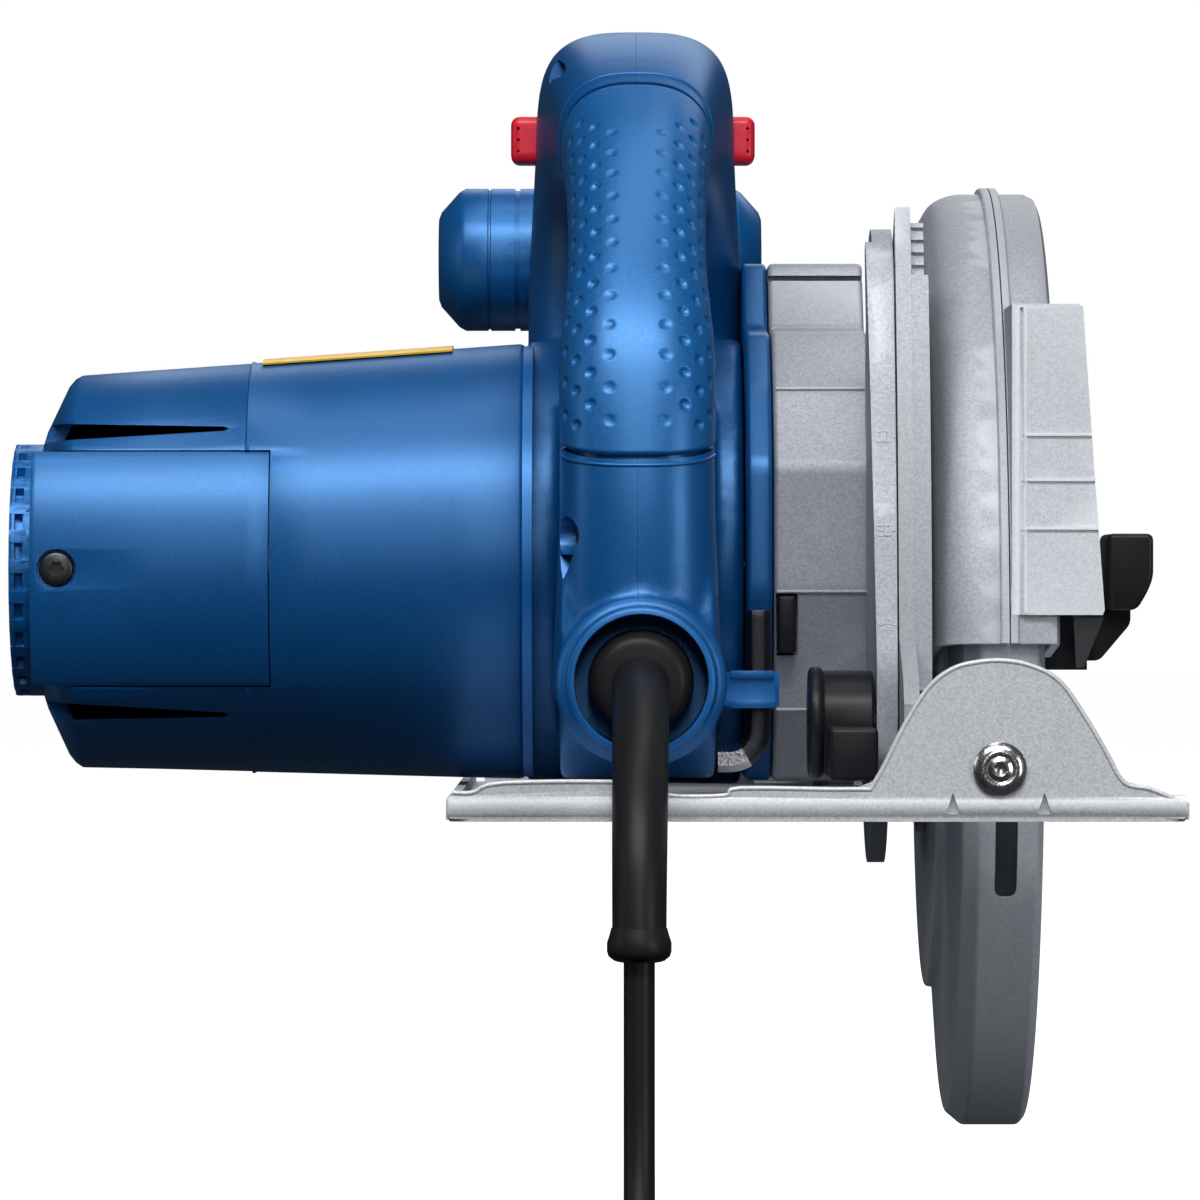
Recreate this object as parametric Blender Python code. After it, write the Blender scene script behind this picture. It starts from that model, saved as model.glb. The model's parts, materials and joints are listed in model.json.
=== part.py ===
"""Corded circular saw for a 184 mm blade, as an assembly of separate pieces.

Frame: X points from the motor to the blade, Y is the cutting direction, Z is up.
The origin lies on the sole of the base plate, level with the blade axis.
Numbers are millimetres; MM turns them into metres when a mesh is made.
"""

import math

import bmesh
import bpy
from mathutils import Vector

MM = 0.001
GAP = 0.3

# Driving dimensions
BLADE_AXIS = (0.0, 28.0)
BLADE_RADIUS = 92.0
BLADE_LEFT = 83.2
BLADE_RIGHT = 84.8
MOTOR_AXIS = (15.0, 53.0)
DEPTH_PIVOT = (125.0, 20.0)
DEPTH_RADIUS = 225.0
DEPTH_BOLT = (DEPTH_PIVOT[0] - DEPTH_RADIUS, DEPTH_PIVOT[1])
BEVEL_AXIS = (83.3, 11.0)
BEVEL_BOLT_RADIUS = 28.3
MODULE = 1.0
PINION_TEETH = 9
GEAR_TEETH = 49
GRIP_CENTRE_X = 8.0
HOUSING_LEFT = -126.0
HOUSING_RIGHT = 31.7
BORE_RADIUS = 41.5
GUARD_OUTER = 109.6
GUARD_INNER = 106.4
LOWER_GUARD_RADIUS = 100.0
BASE_LEFT = -32.1
BASE_RIGHT = 122.8
BASE_REAR = -140.0
BASE_FRONT = 145.0
BASE_THICKNESS = 2.0
CORD_EXIT = (8.7, 28.9)
CORD_RADIUS = 3.2
BENCH_Z = -103.0

# Where each moving body turns or slides from: x, y, z
BODY_ORIGINS = {
    "saw": (0.0, 0.0, 0.0),
    "armature": (0.0, MOTOR_AXIS[0], MOTOR_AXIS[1]),
    "spindle": (0.0, BLADE_AXIS[0], BLADE_AXIS[1]),
    "lower_guard": (0.0, BLADE_AXIS[0], BLADE_AXIS[1]),
    "trigger": (GRIP_CENTRE_X, 12.0, 142.0),
    "lock_off_button": (7.5, 22.0, 151.0),
    "spindle_lock": (41.0, -43.0, 40.8),
    "hex_key": (34.3, -68.5, 26.0),
    "depth_clamp": (52.0, DEPTH_BOLT[0], DEPTH_BOLT[1]),
    "bevel_frame": (50.0, DEPTH_PIVOT[0], DEPTH_PIVOT[1]),
    "bevel_wing_screw": (63.3, 145.0, 31.0),
    "base": (BEVEL_AXIS[0], 0.0, BEVEL_AXIS[1]),
    "fence_screw": (22.0, 128.0, 10.0),
}

# Colour, roughness and metallic value of each finish
FINISHES = {
    "blue_plastic": ((0.008, 0.105, 0.31, 1), 0.42, 0.0),
    "soft_blue": ((0.02, 0.15, 0.37, 1), 0.6, 0.0),
    "black_plastic": ((0.012, 0.012, 0.013, 1), 0.4, 0.0),
    "black_rubber": ((0.014, 0.014, 0.014, 1), 0.6, 0.0),
    "red_plastic": ((0.62, 0.012, 0.03, 1), 0.35, 0.0),
    "yellow_label": ((0.68, 0.40, 0.01, 1), 0.5, 0.0),
    "cast_aluminium": ((0.48, 0.50, 0.53, 1), 0.42, 0.8),
    "sheet_steel": ((0.46, 0.48, 0.50, 1), 0.38, 0.85),
    "bright_steel": ((0.62, 0.62, 0.62, 1), 0.22, 1.0),
    "dark_steel": ((0.07, 0.07, 0.075, 1), 0.4, 0.9),
    "copper": ((0.6, 0.22, 0.09, 1), 0.35, 1.0),
    "carbon": ((0.02, 0.02, 0.02, 1), 0.7, 0.0),
    "brass": ((0.55, 0.38, 0.12, 1), 0.3, 1.0),
}


# ---------------------------------------------------------------- shapes


def axis_point(axis, centre, along, u, v):
    """A point at a distance along an axis, with u and v measured off the axis's centre."""
    if axis == "X":
        return (along, centre[0] + u, centre[1] + v)
    if axis == "Y":
        return (centre[0] + u, along, centre[1] + v)
    return (centre[0] + u, centre[1] + v, along)


def solid(points, faces):
    shape = bmesh.new()
    verts = [shape.verts.new(point) for point in points]
    for face in faces:
        shape.faces.new([verts[index] for index in face])
    bmesh.ops.recalc_face_normals(shape, faces=shape.faces)
    return shape


def box(low, high):
    points = [(x, y, z) for x in (low[0], high[0]) for y in (low[1], high[1]) for z in (low[2], high[2])]
    faces = [(0, 1, 3, 2), (4, 6, 7, 5), (0, 4, 5, 1), (2, 3, 7, 6), (0, 2, 6, 4), (1, 5, 7, 3)]
    return solid(points, faces)


def prism(outline, low, high, axis="X"):
    """An outline in the plane across an axis, extruded along it."""
    count = len(outline)
    points = [axis_point(axis, (0, 0), low, u, v) for u, v in outline]
    points += [axis_point(axis, (0, 0), high, u, v) for u, v in outline]
    faces = [tuple(range(count)), tuple(range(count, 2 * count))]
    for k in range(count):
        after = (k + 1) % count
        faces.append((k, after, count + after, count + k))
    return solid(points, faces)


def turned(profile, centre, axis="X", sides=24):
    """A profile of (along, radius) points turned once round. It is a ring if no radius is 0."""
    points = []
    rows = []
    for along, radius in profile:
        count = 1 if radius == 0 else sides
        rows.append(list(range(len(points), len(points) + count)))
        for k in range(count):
            angle = 2 * math.pi * k / sides
            points.append(axis_point(axis, centre, along, radius * math.cos(angle), radius * math.sin(angle)))
    pairs = list(zip(rows, rows[1:]))
    if all(radius > 0 for _, radius in profile):
        pairs.append((rows[-1], rows[0]))
    faces = []
    for first, second in pairs:
        for k in range(sides):
            after = (k + 1) % sides
            corners = [first[k % len(first)], first[after % len(first)]]
            corners += [second[after % len(second)], second[k % len(second)]]
            kept = list(dict.fromkeys(corners))
            if len(kept) > 2:
                faces.append(kept)
    return solid(points, faces)


def rod(low, high, radius, centre, axis="X", sides=16):
    return turned([(low, 0), (low, radius), (high, radius), (high, 0)], centre, axis, sides)


def turned_part(profile, centre, first, last, steps):
    """A closed (x, radius) profile turned about X from one angle to another, in degrees."""
    rings = []
    for step in range(steps + 1):
        angle = math.radians(first + (last - first) * step / steps)
        ring = [
            axis_point("X", centre, along, radius * math.cos(angle), radius * math.sin(angle))
            for along, radius in profile
        ]
        rings.append(ring)
    return loft(rings)


def loft(rings):
    """Closed rings of equal count joined one to the next, with both ends capped."""
    count = len(rings[0])
    points = [point for ring in rings for point in ring]
    last = len(points) - count
    faces = [tuple(range(count)), tuple(range(last, last + count))]
    for row in range(len(rings) - 1):
        for k in range(count):
            after = (k + 1) % count
            low = row * count
            faces.append((low + k, low + after, low + count + after, low + count + k))
    return solid(points, faces)


def thick_patch(outer, inner):
    """Two equal grids of points, one over the other, closed round their edges."""
    rows = len(outer)
    columns = len(outer[0])
    points = [point for grid in (outer, inner) for row in grid for point in row]
    under = rows * columns
    faces = []
    for i in range(rows - 1):
        for j in range(columns - 1):
            corners = (i * columns + j, i * columns + j + 1, (i + 1) * columns + j + 1, (i + 1) * columns + j)
            faces.append(corners)
            faces.append(tuple(under + corner for corner in corners))
    edge = [(i, 0) for i in range(rows)]
    edge += [(rows - 1, j) for j in range(1, columns)]
    edge += [(i, columns - 1) for i in range(rows - 2, -1, -1)]
    edge += [(0, j) for j in range(columns - 2, 0, -1)]
    ring = [i * columns + j for i, j in edge]
    for k, corner in enumerate(ring):
        after = ring[(k + 1) % len(ring)]
        faces.append((corner, after, under + after, under + corner))
    return solid(points, faces)


def arc(centre, radius, first, last, steps):
    """Points on an arc, from one angle to another in degrees."""
    points = []
    for step in range(steps + 1):
        angle = math.radians(first + (last - first) * step / steps)
        points.append((centre[0] + radius * math.cos(angle), centre[1] + radius * math.sin(angle)))
    return points


def band(centre, inner, outer, first, last, steps):
    """The outline between two arcs about one centre."""
    return arc(centre, outer, first, last, steps) + arc(centre, inner, last, first, steps)


def smooth(points, steps):
    """A Catmull-Rom curve through points of any number of values."""
    ends = [points[0]] + list(points) + [points[-1]]
    result = []
    for k in range(1, len(ends) - 2):
        for step in range(steps):
            result.append(curve_point(ends[k - 1 : k + 3], step / steps))
    result.append(tuple(points[-1]))
    return result


def curve_point(four, t):
    blend = []
    for a, b, c, d in zip(*four):
        value = 2 * b + (c - a) * t + (2 * a - 5 * b + 4 * c - d) * t**2 + (3 * b - a - 3 * c + d) * t**3
        blend.append(value / 2)
    return tuple(blend)


def gear_outline(teeth, centre, first_tooth):
    """Straight-sided teeth with room for backlash; first_tooth is an angle in degrees."""
    root = MODULE * (teeth / 2 - 1.25)
    tip = MODULE * (teeth / 2 + 1)
    pitch = 2 * math.pi / teeth
    outline = []
    for tooth in range(teeth):
        middle = math.radians(first_tooth) + tooth * pitch
        for radius, part in ((root, -0.30), (tip, -0.13), (tip, 0.13), (root, 0.30)):
            angle = middle + part * pitch
            outline.append((centre[0] + radius * math.cos(angle), centre[1] + radius * math.sin(angle)))
    return outline


# ---------------------------------------------------------------- pieces


def clear_scene():
    for item in list(bpy.data.objects):
        bpy.data.objects.remove(item, do_unlink=True)


def finish(name):
    material = bpy.data.materials.get(name)
    if material is None:
        colour, roughness, metallic = FINISHES[name]
        material = bpy.data.materials.new(name)
        material.use_nodes = True
        shader = material.node_tree.nodes["Principled BSDF"]
        shader.inputs["Base Color"].default_value = colour
        shader.inputs["Roughness"].default_value = roughness
        shader.inputs["Metallic"].default_value = metallic
        material.diffuse_color = colour
    return material


def body_empty(body):
    name = "at_" + body
    empty = bpy.data.objects.get(name)
    if empty is None:
        empty = bpy.data.objects.new(name, None)
        empty.location = Vector(BODY_ORIGINS[body]) * MM
        bpy.context.collection.objects.link(empty)
    return empty


def placed(name, shape, body):
    """An object for a shape given in the frame's millimetres, parented to its body's empty."""
    origin = Vector(BODY_ORIGINS[body])
    for vert in shape.verts:
        vert.co = (vert.co - origin) * MM
    mesh = bpy.data.meshes.new(name)
    shape.to_mesh(mesh)
    shape.free()
    item = bpy.data.objects.new(name, mesh)
    item.parent = body_empty(body)
    bpy.context.collection.objects.link(item)
    return item


def piece(name, shape, look, body="saw"):
    item = placed(name, shape, body)
    item.data.materials.append(finish(look))
    item.data.shade_smooth()
    item.data.set_sharp_from_angle(angle=math.radians(35))
    item["body"] = body
    return item


def change(item, shape, operation):
    number = len(item.modifiers)
    tool = placed(f"{item.name}_{operation.lower()}_{number}", shape, item["body"])
    tool.hide_render = True
    tool.display_type = "WIRE"
    modifier = item.modifiers.new(tool.name, "BOOLEAN")
    modifier.solver = "EXACT"
    modifier.operation = operation
    modifier.object = tool


def cut(item, *shapes):
    for shape in shapes:
        change(item, shape, "DIFFERENCE")


def fuse(item, *shapes):
    for shape in shapes:
        change(item, shape, "UNION")


def keep(item, shape):
    change(item, shape, "INTERSECT")


def soften(item, width, segments=2):
    modifier = item.modifiers.new("soft_edges", "BEVEL")
    modifier.width = width * MM
    modifier.segments = segments
    modifier.limit_method = "ANGLE"
    modifier.angle_limit = math.radians(40)


# ---------------------------------------------------------------- motor housing

# x, height of the circle's centre, radius
HOUSING_CIRCLES = [
    (HOUSING_LEFT, 53.0, 29.4),
    (-124.6, 53.0, 33.0),
    (-119.5, 52.8, 43.0),
    (-117.5, 52.7, 44.6),
    (-79.0, 53.6, 46.4),
    (-17.3, 55.0, 49.5),
    (-17.2, 53.0, 45.6),
    (HOUSING_RIGHT, 53.0, 45.6),
]
PANEL_LEFT = -126.8
PANEL_RIGHT = -73.4
PANEL_LOW = 26.8
PANEL_HIGH = 79.6


def housing_circle(x):
    """Centre height and radius of the tapered housing at x, right of its chamfered end."""
    left = HOUSING_CIRCLES[3]
    right = HOUSING_CIRCLES[5]
    part = (x - left[0]) / (right[0] - left[0])
    return left[1] + (right[1] - left[1]) * part, left[2] + (right[2] - left[2]) * part


def circle_ring(x, height, radius, sides=36):
    ring = []
    for k in range(sides):
        angle = 2 * math.pi * k / sides
        ring.append((x, MOTOR_AXIS[0] + radius * math.cos(angle), height + radius * math.sin(angle)))
    return ring


def make_motor_housing():
    shell = piece("motor_housing", loft([circle_ring(*circle) for circle in HOUSING_CIRCLES]), "blue_plastic")
    bore = [(-127, 0), (-127, 29.2), (-122, 29.2), (-121.4, 31)]
    bore = bore + [(-116, BORE_RADIUS), (33, BORE_RADIUS), (33, 0)]
    cut(shell, turned(bore, MOTOR_AXIS, sides=36))
    cut(shell, box((-130, -60, PANEL_LOW), (PANEL_RIGHT, -8, PANEL_HIGH)))
    for height, way in ((83.6, 1), (21.4, -1)):
        slot = [(-128, height - 2.2), (-84, height - 0.5), (-84, height + 0.5), (-128, height + 2.2)]
        slot = [(x, z + way * (x + 128) * 0.02) for x, z in slot]
        cut(shell, prism(slot, -60, 2, axis="Y"))


def make_end_cap():
    teeth = 26
    outline = []
    for tooth in range(teeth):
        for part, radius in ((-0.32, 28.6), (0.12, 28.6), (0.16, 26.4), (0.64, 26.4)):
            angle = 2 * math.pi * (tooth + part) / teeth
            across = radius * math.cos(angle)
            up = radius * math.sin(angle)
            outline.append((MOTOR_AXIS[0] + across, MOTOR_AXIS[1] + up))
    cap = piece("end_cap", prism(outline, -132.6, -128.7), "blue_plastic")
    seat = [(-129.5, 0), (-129.5, 28.6), (-123, 28.6), (-123, 14.5)]
    seat = seat + [(-112.5, 14.5), (-112.5, 11.2), (-127, 11.2)]
    fuse(cap, turned(seat + [(-127, 0)], MOTOR_AXIS))
    for slot in range(6):
        angle = math.pi * slot / 3
        middle = (MOTOR_AXIS[0] + 20 * math.cos(angle), MOTOR_AXIS[1] + 20 * math.sin(angle))
        cut(cap, rod(-140, -118, 3.2, middle, sides=8))


def make_brush_cover():
    panel = []
    skin = []
    for x, radius in ((PANEL_LEFT, 44.2), (-79.0, 46.4), (PANEL_RIGHT - GAP, 46.6)):
        row = []
        under = []
        for step in range(9):
            lift = (PANEL_LOW + GAP - 53) + (PANEL_HIGH - PANEL_LOW - 2 * GAP) * step / 8
            row.append((x, MOTOR_AXIS[0] - math.sqrt(radius**2 - lift**2), 53 + lift))
            under.append((x, MOTOR_AXIS[0] - math.sqrt((radius - 2.6) ** 2 - lift**2), 53 + lift))
        panel.append(row)
        skin.append(under)
    cover = piece("brush_cover", thick_patch(panel, skin), "blue_plastic")
    screw_at = (-120.8, 53.1)
    cut(cover, rod(-35, -27.6, 4.3, screw_at, axis="Y"), rod(-30, -20, 2.2, screw_at, axis="Y"))
    head = [(-29.6, 0), (-29.6, 3.2), (-29.0, 3.8), (-27.9, 3.8), (-27.9, 1.9), (-18, 1.9), (-18, 0)]
    piece("brush_cover_screw", turned(head, screw_at, "Y", 14), "dark_steel")


def make_label():
    top = []
    under = []
    for x in (-76.4, -62.0, -47.6, -33.4):
        height, radius = housing_circle(x)
        rows = []
        for lift in (0.9, 0.35):
            row = []
            for step in range(9):
                angle = math.radians(54 + 49 * step / 8)
                reach = radius + lift
                row.append((x, MOTOR_AXIS[0] + reach * math.cos(angle), height + reach * math.sin(angle)))
            rows.append(row)
        top.append(rows[0])
        under.append(rows[1])
    piece("rating_label", thick_patch(top, under), "yellow_label")


# ---------------------------------------------------------------- motor


def make_motor():
    stator = [(-88, 26.5), (-88, 37), (-78, 37), (-78, 41.1), (-28, 41.1), (-28, 37), (-18, 37), (-18, 26.5)]
    stator += [(-28, 24.3), (-78, 24.3)]
    piece("stator", turned(stator, MOTOR_AXIS, sides=20), "dark_steel")
    holders = (("rear", -1), ("front", 1))
    for name, way in holders:
        near = MOTOR_AXIS[0] + way * 17.2
        far = MOTOR_AXIS[0] + way * 37
        low, high = sorted((near, far))
        holder = piece(f"brush_holder_{name}", box((-104.6, low, 46), (-93.4, high, 60)), "brass")
        cut(holder, box((-102.9, low - 5, 48), (-95.1, high + 5, 58)))
        near = MOTOR_AXIS[0] + way * 16.8
        far = MOTOR_AXIS[0] + way * 30
        low, high = sorted((near, far))
        piece(f"carbon_brush_{name}", box((-102.5, low, 48.4), (-95.5, high, 57.6)), "carbon")
    core = [(-86, 5.4), (-86, 19), (-78, 21), (-78, 23.6), (-28, 23.6), (-28, 21), (-20, 19), (-20, 5.4)]
    piece("armature_core", turned(core, MOTOR_AXIS, sides=18), "copper", "armature")
    ring = [(-108, 5.4), (-108, 16.5), (-91, 16.5), (-91, 18.5), (-88.5, 18.5), (-88.5, 5.4)]
    piece("commutator", turned(ring, MOTOR_AXIS, sides=18), "copper", "armature")
    profile = [(-121, 0), (-121, 3.9), (-111.5, 3.9), (-111.5, 5), (12, 5)]
    profile = profile + [(12, 5.9), (47, 5.9), (47, 3), (59, 3), (59, 0)]
    body = turned(profile, MOTOR_AXIS, sides=12)
    shaft = piece("armature_shaft", body, "bright_steel", "armature")
    line = math.degrees(math.atan2(MOTOR_AXIS[1] - BLADE_AXIS[1], MOTOR_AXIS[0] - BLADE_AXIS[0]))
    fuse(shaft, prism(gear_outline(PINION_TEETH, MOTOR_AXIS, line + 180), 46.5, 58))
    vanes = 8
    outline = []
    for vane in range(vanes):
        for part, radius in ((0.0, 11.0), (0.12, 38.6), (0.22, 38.6), (0.14, 11.0)):
            angle = 2 * math.pi * (vane + part) / vanes
            across = radius * math.cos(angle)
            up = radius * math.sin(angle)
            outline.append((MOTOR_AXIS[0] + across, MOTOR_AXIS[1] + up))
    fan = piece("cooling_fan", prism(outline, -8, 7), "black_plastic", "armature")
    disc = [(6, 0), (6, 39), (8.4, 39), (8.4, 0)]
    fuse(fan, turned(disc, MOTOR_AXIS, sides=24))
    cut(fan, rod(-20, 20, 5.5, MOTOR_AXIS, sides=12))
    bearings = (
        ("armature_rear_bearing", -119.5, -113, 4.2, 10.9, MOTOR_AXIS),
        ("armature_front_bearing", 38.6, 46, 6.2, 15.9, MOTOR_AXIS),
        ("spindle_rear_bearing", 41.3, 47, 4.2, 10.9, BLADE_AXIS),
        ("spindle_front_bearing", 61.6, 70.9, 7.8, 15.9, BLADE_AXIS),
    )
    for name, low, high, inner, outer, centre in bearings:
        ring = [(low, inner), (low, outer), (high, outer), (high, inner)]
        piece(name, turned(ring, centre, sides=18), "bright_steel")


# ---------------------------------------------------------------- handle

# The closed loop's centreline, from the front column over the top to the cord boss:
# y, z, half width along x, half depth across the loop
HANDLE_LOOP = [
    (41, 88, 24.6, 21),
    (39, 118, 24.4, 20),
    (27, 142, 23.0, 20),
    (3, 154, 21.9, 20),
    (-26, 152, 18.6, 17),
    (-56, 139, 15.6, 15),
    (-80, 118, 14.8, 14.6),
    (-95, 96, 16.6, 15),
    (-100, 72, 16.4, 15.5),
    (-99, 50, 17.2, 16.5),
    (-95, 26, 18.4, 17.5),
]
LOOP_STEPS = 2
GRIP_HALF_ANGLE = 112
GRIP_START = 4.6
GRIP_END = 7.86


def loop_frame(position):
    """Centre, outward direction, half width and half depth at a position along the loop."""
    position = min(max(position, 0), len(HANDLE_LOOP) - 1.001)
    first = int(position)
    ends = [HANDLE_LOOP[0]] + HANDLE_LOOP + [HANDLE_LOOP[-1]]
    four = ends[first : first + 4]
    here = curve_point(four, position - first)
    ahead = curve_point(four, position - first + 0.01)
    run = math.hypot(ahead[0] - here[0], ahead[1] - here[1])
    outward = ((ahead[1] - here[1]) / run, -(ahead[0] - here[0]) / run)
    return here, outward


def section_power(position):
    """How round the loop's section is: 1 is an ellipse, and less is squarer, as on the cap above the grip."""
    return 0.8 - 0.17 * max(0.0, 1 - ((position - 2.9) / 1.7) ** 2)


def loop_point(position, degrees, inset=0.0):
    """A point on the loop's skin; 0 degrees is its outer side and 180 its finger side."""
    here, outward = loop_frame(position)
    angle = math.radians(degrees)
    power = section_power(position)
    across = math.copysign(abs(math.sin(angle)) ** power, math.sin(angle))
    out = math.copysign(abs(math.cos(angle)) ** power, math.cos(angle))
    reach = (here[3] - inset) * out
    side = (here[2] - inset) * across
    return (GRIP_CENTRE_X + side, here[0] + outward[0] * reach, here[1] + outward[1] * reach)


def loop_solid(inset, first, last, sides):
    rows = int((last - first) * LOOP_STEPS + 0.5)
    rings = []
    for row in range(rows + 1):
        position = first + (last - first) * row / rows
        rings.append([loop_point(position, 360 * (k + 0.5) / sides, inset) for k in range(sides)])
    return loft(rings)


def grip_grid(inset, spread, reach):
    """Grid of the soft grip, whose two ends curve with the angle round the handle."""
    grid = []
    rows = 12
    for row in range(rows + 1):
        line = []
        for step in range(11):
            degrees = -GRIP_HALF_ANGLE - spread + 2 * (GRIP_HALF_ANGLE + spread) * step / 10
            bend = 1 - math.cos(math.radians(degrees) * 0.8)
            start = GRIP_START + 0.06 * bend - reach
            end = GRIP_END - 0.13 * bend + reach
            line.append(loop_point(start + (end - start) * row / rows, degrees, inset))
        grid.append(line)
    return grid


def handle_screws():
    """Name, y, z and left face of each screw that holds the two handle shells together."""
    return (("top", -17.0, 164.4, -3.0), ("middle", -108.3, 60.0, -2.0), ("lower", -78.0, 16.0, -4.0))


def make_handle_shell(name, low, high):
    shell = piece(name, loop_solid(0, 0, 10, 16), "blue_plastic")
    drum = [circle_ring(-16.9, 54.9, 50.0, 32), circle_ring(32.0, 55.0, 50.6, 32)]
    fuse(shell, loft(drum))
    trunk = [(-18, 8), (-94, 8), (-109, 16), (-113, 30), (-108, 55), (-88, 82), (-60, 88), (-18, 92)]
    fuse(shell, prism(trunk, -8.6, 24.6))
    fuse(shell, rod(-119.4, -90, 18.2, CORD_EXIT, "Y", 24))
    cut(shell, rod(-30, 40, 46, MOTOR_AXIS, sides=32))
    cut(shell, loop_solid(3.2, 0.4, 8.6, 12))
    cut(shell, prism([(-30, 14), (-80, 14), (-80, 74), (-30, 80)], -5.4, 21.4))
    cut(shell, rod(-130, -97.7, 14.2, CORD_EXIT, "Y", 20))
    for _, y, z, left in handle_screws():
        fuse(shell, rod(left, 20.6, 4.5, (y, z), sides=10))
    for _, y, z, left in handle_screws():
        hole = [(-40, 0), (-40, 4.0), (left, 4.0), (left, 2.2), (19, 2.2), (19, 0)]
        cut(shell, turned(hole, (y, z), sides=12))
    cut(shell, thick_patch(grip_grid(-4.0, 1.0, 0.012), grip_grid(2.3, 1.0, 0.012)))
    cut(shell, box((-60, 15.6, 145.0), (60, 28.8, 157.2)))
    cut(shell, box((0.4, -20.4, 118), (15.6, 17.4, 148)))
    if high > 30:
        fuse(shell, box((22.0, -74.5, 23.2), (39.0, -60.5, 30.5)))
        cut(shell, box((30.9, -90.0, 20), (37.7, -64.9, 35)))
    keep(shell, box((low, -150, -10), (high, 120, 200)))


def make_handle():
    make_handle_shell("handle_shell_left", -60, GRIP_CENTRE_X - GAP / 2)
    make_handle_shell("handle_shell_right", GRIP_CENTRE_X + GAP / 2, 60)
    piece("soft_grip", thick_patch(grip_grid(-0.1, 0, 0), grip_grid(2.0, 0, 0)), "soft_blue")
    for name, y, z, left in handle_screws():
        head = [(left - 3, 0), (left - 3, 3.4), (left - GAP, 3.4), (left - GAP, 1.9), (18.5, 1.9), (18.5, 0)]
        piece(f"handle_screw_{name}", turned(head, (y, z), sides=14), "dark_steel")
    piece("switch_body", box((-1.5, -24, 150.8), (17.5, 11.5, 159.3)), "black_plastic")
    finger = [(16.5, 145.5), (-19, 145.0), (-19, 139), (-16, 129)]
    finger = finger + [(-9, 125.4), (-1, 126.2), (7, 131), (12, 137)]
    trigger = piece("trigger", prism(finger + [(16.5, 141)], 1.2, 14.8), "black_plastic", "trigger")
    soften(trigger, 1.2)
    bar = box((-20.3, 16.2, 145.6), (35.3, 27.8, 156.4))
    button = piece("lock_off_button", bar, "red_plastic", "lock_off_button")
    soften(button, 2.0, 3)
    bar = [(-38, 0), (-38, 10.8), (-32.2, 16.8), (32.2, 16.8), (38, 10.8), (38, 0)]
    front = piece("front_handle", turned(bar, (85.0, 126.6), sides=32), "blue_plastic")
    fuse(front, box((-5, 62.5, 113), (21, 80, 135)))


# ---------------------------------------------------------------- gear housing

GEAR_CASE = [
    (24, 123.2), (9, 107.6), (-16, 106.0), (-33, 93), (-45, 76), (-46.4, 48), (-40, 22), (-24, 6),
    (62, 6), (78, 14), (86, 32), (84, 62), (79, 95), (72, 108), (62, 123.2),
]  # fmt: skip


def make_gear_case():
    collar = piece("gearbox_flange", prism(GEAR_CASE, 32.3, 38.0), "blue_plastic")
    soften(collar, 1.2)
    cut(collar, rod(20, 45, 34, MOTOR_AXIS, sides=32))
    case = piece("gear_housing", prism(GEAR_CASE, 38.3, 59.9), "cast_aluminium")
    soften(case, 1.6)
    nose = [(60, 8), (118, 11.4)] + arc(DEPTH_PIVOT, 9.5, -100, 100, 8) + [(112, 31), (60, 60)]
    fuse(case, prism(nose, 41.2, 56.8))
    scale = [(-36, 14), (-106, 9), (-112, 12), (-113, 30), (-107, 62)]
    scale = scale + [(-97, 95), (-88, 116), (-81, 124), (-72, 127)]
    fuse(case, prism(scale + [(-58, 125), (-44, 112), (-36, 96)], 58.6, 63.0))
    thick = [(-107, 62), (-97, 95), (-88, 116), (-82.6, 122), (-76, 120), (-76, 70)]
    fuse(case, prism(thick, 57.2, 60.0))
    cut(case, rod(60.0, 70, 42.2, BLADE_AXIS, sides=40))
    chamber = [(40.9, 0), (40.9, 11.2), (47.3, 11.2), (47.3, 27.5), (66, 27.5), (66, 0)]
    cut(case, turned(chamber, BLADE_AXIS, sides=28))
    seat = [(36, 0), (36, 16.2), (46.6, 16.2), (46.6, 8.5), (65, 8.5), (65, 0)]
    cut(case, turned(seat, MOTOR_AXIS, sides=20))
    cut(case, rod(30, 70, 4.3, DEPTH_PIVOT), rod(50, 70, 3.4, DEPTH_BOLT))
    cut(case, box((38.7, -60, 34.0), (43.5, -37, 47.6)))
    block = box((39.0, -48.5, 34.5), (43.1, -40.2, 47.1))
    lock = piece("spindle_lock_button", block, "black_plastic", "spindle_lock")
    soften(lock, 0.8)


# ---------------------------------------------------------------- guards

GUARD_FIRST = -4.0
GUARD_LAST = 175.3


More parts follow.
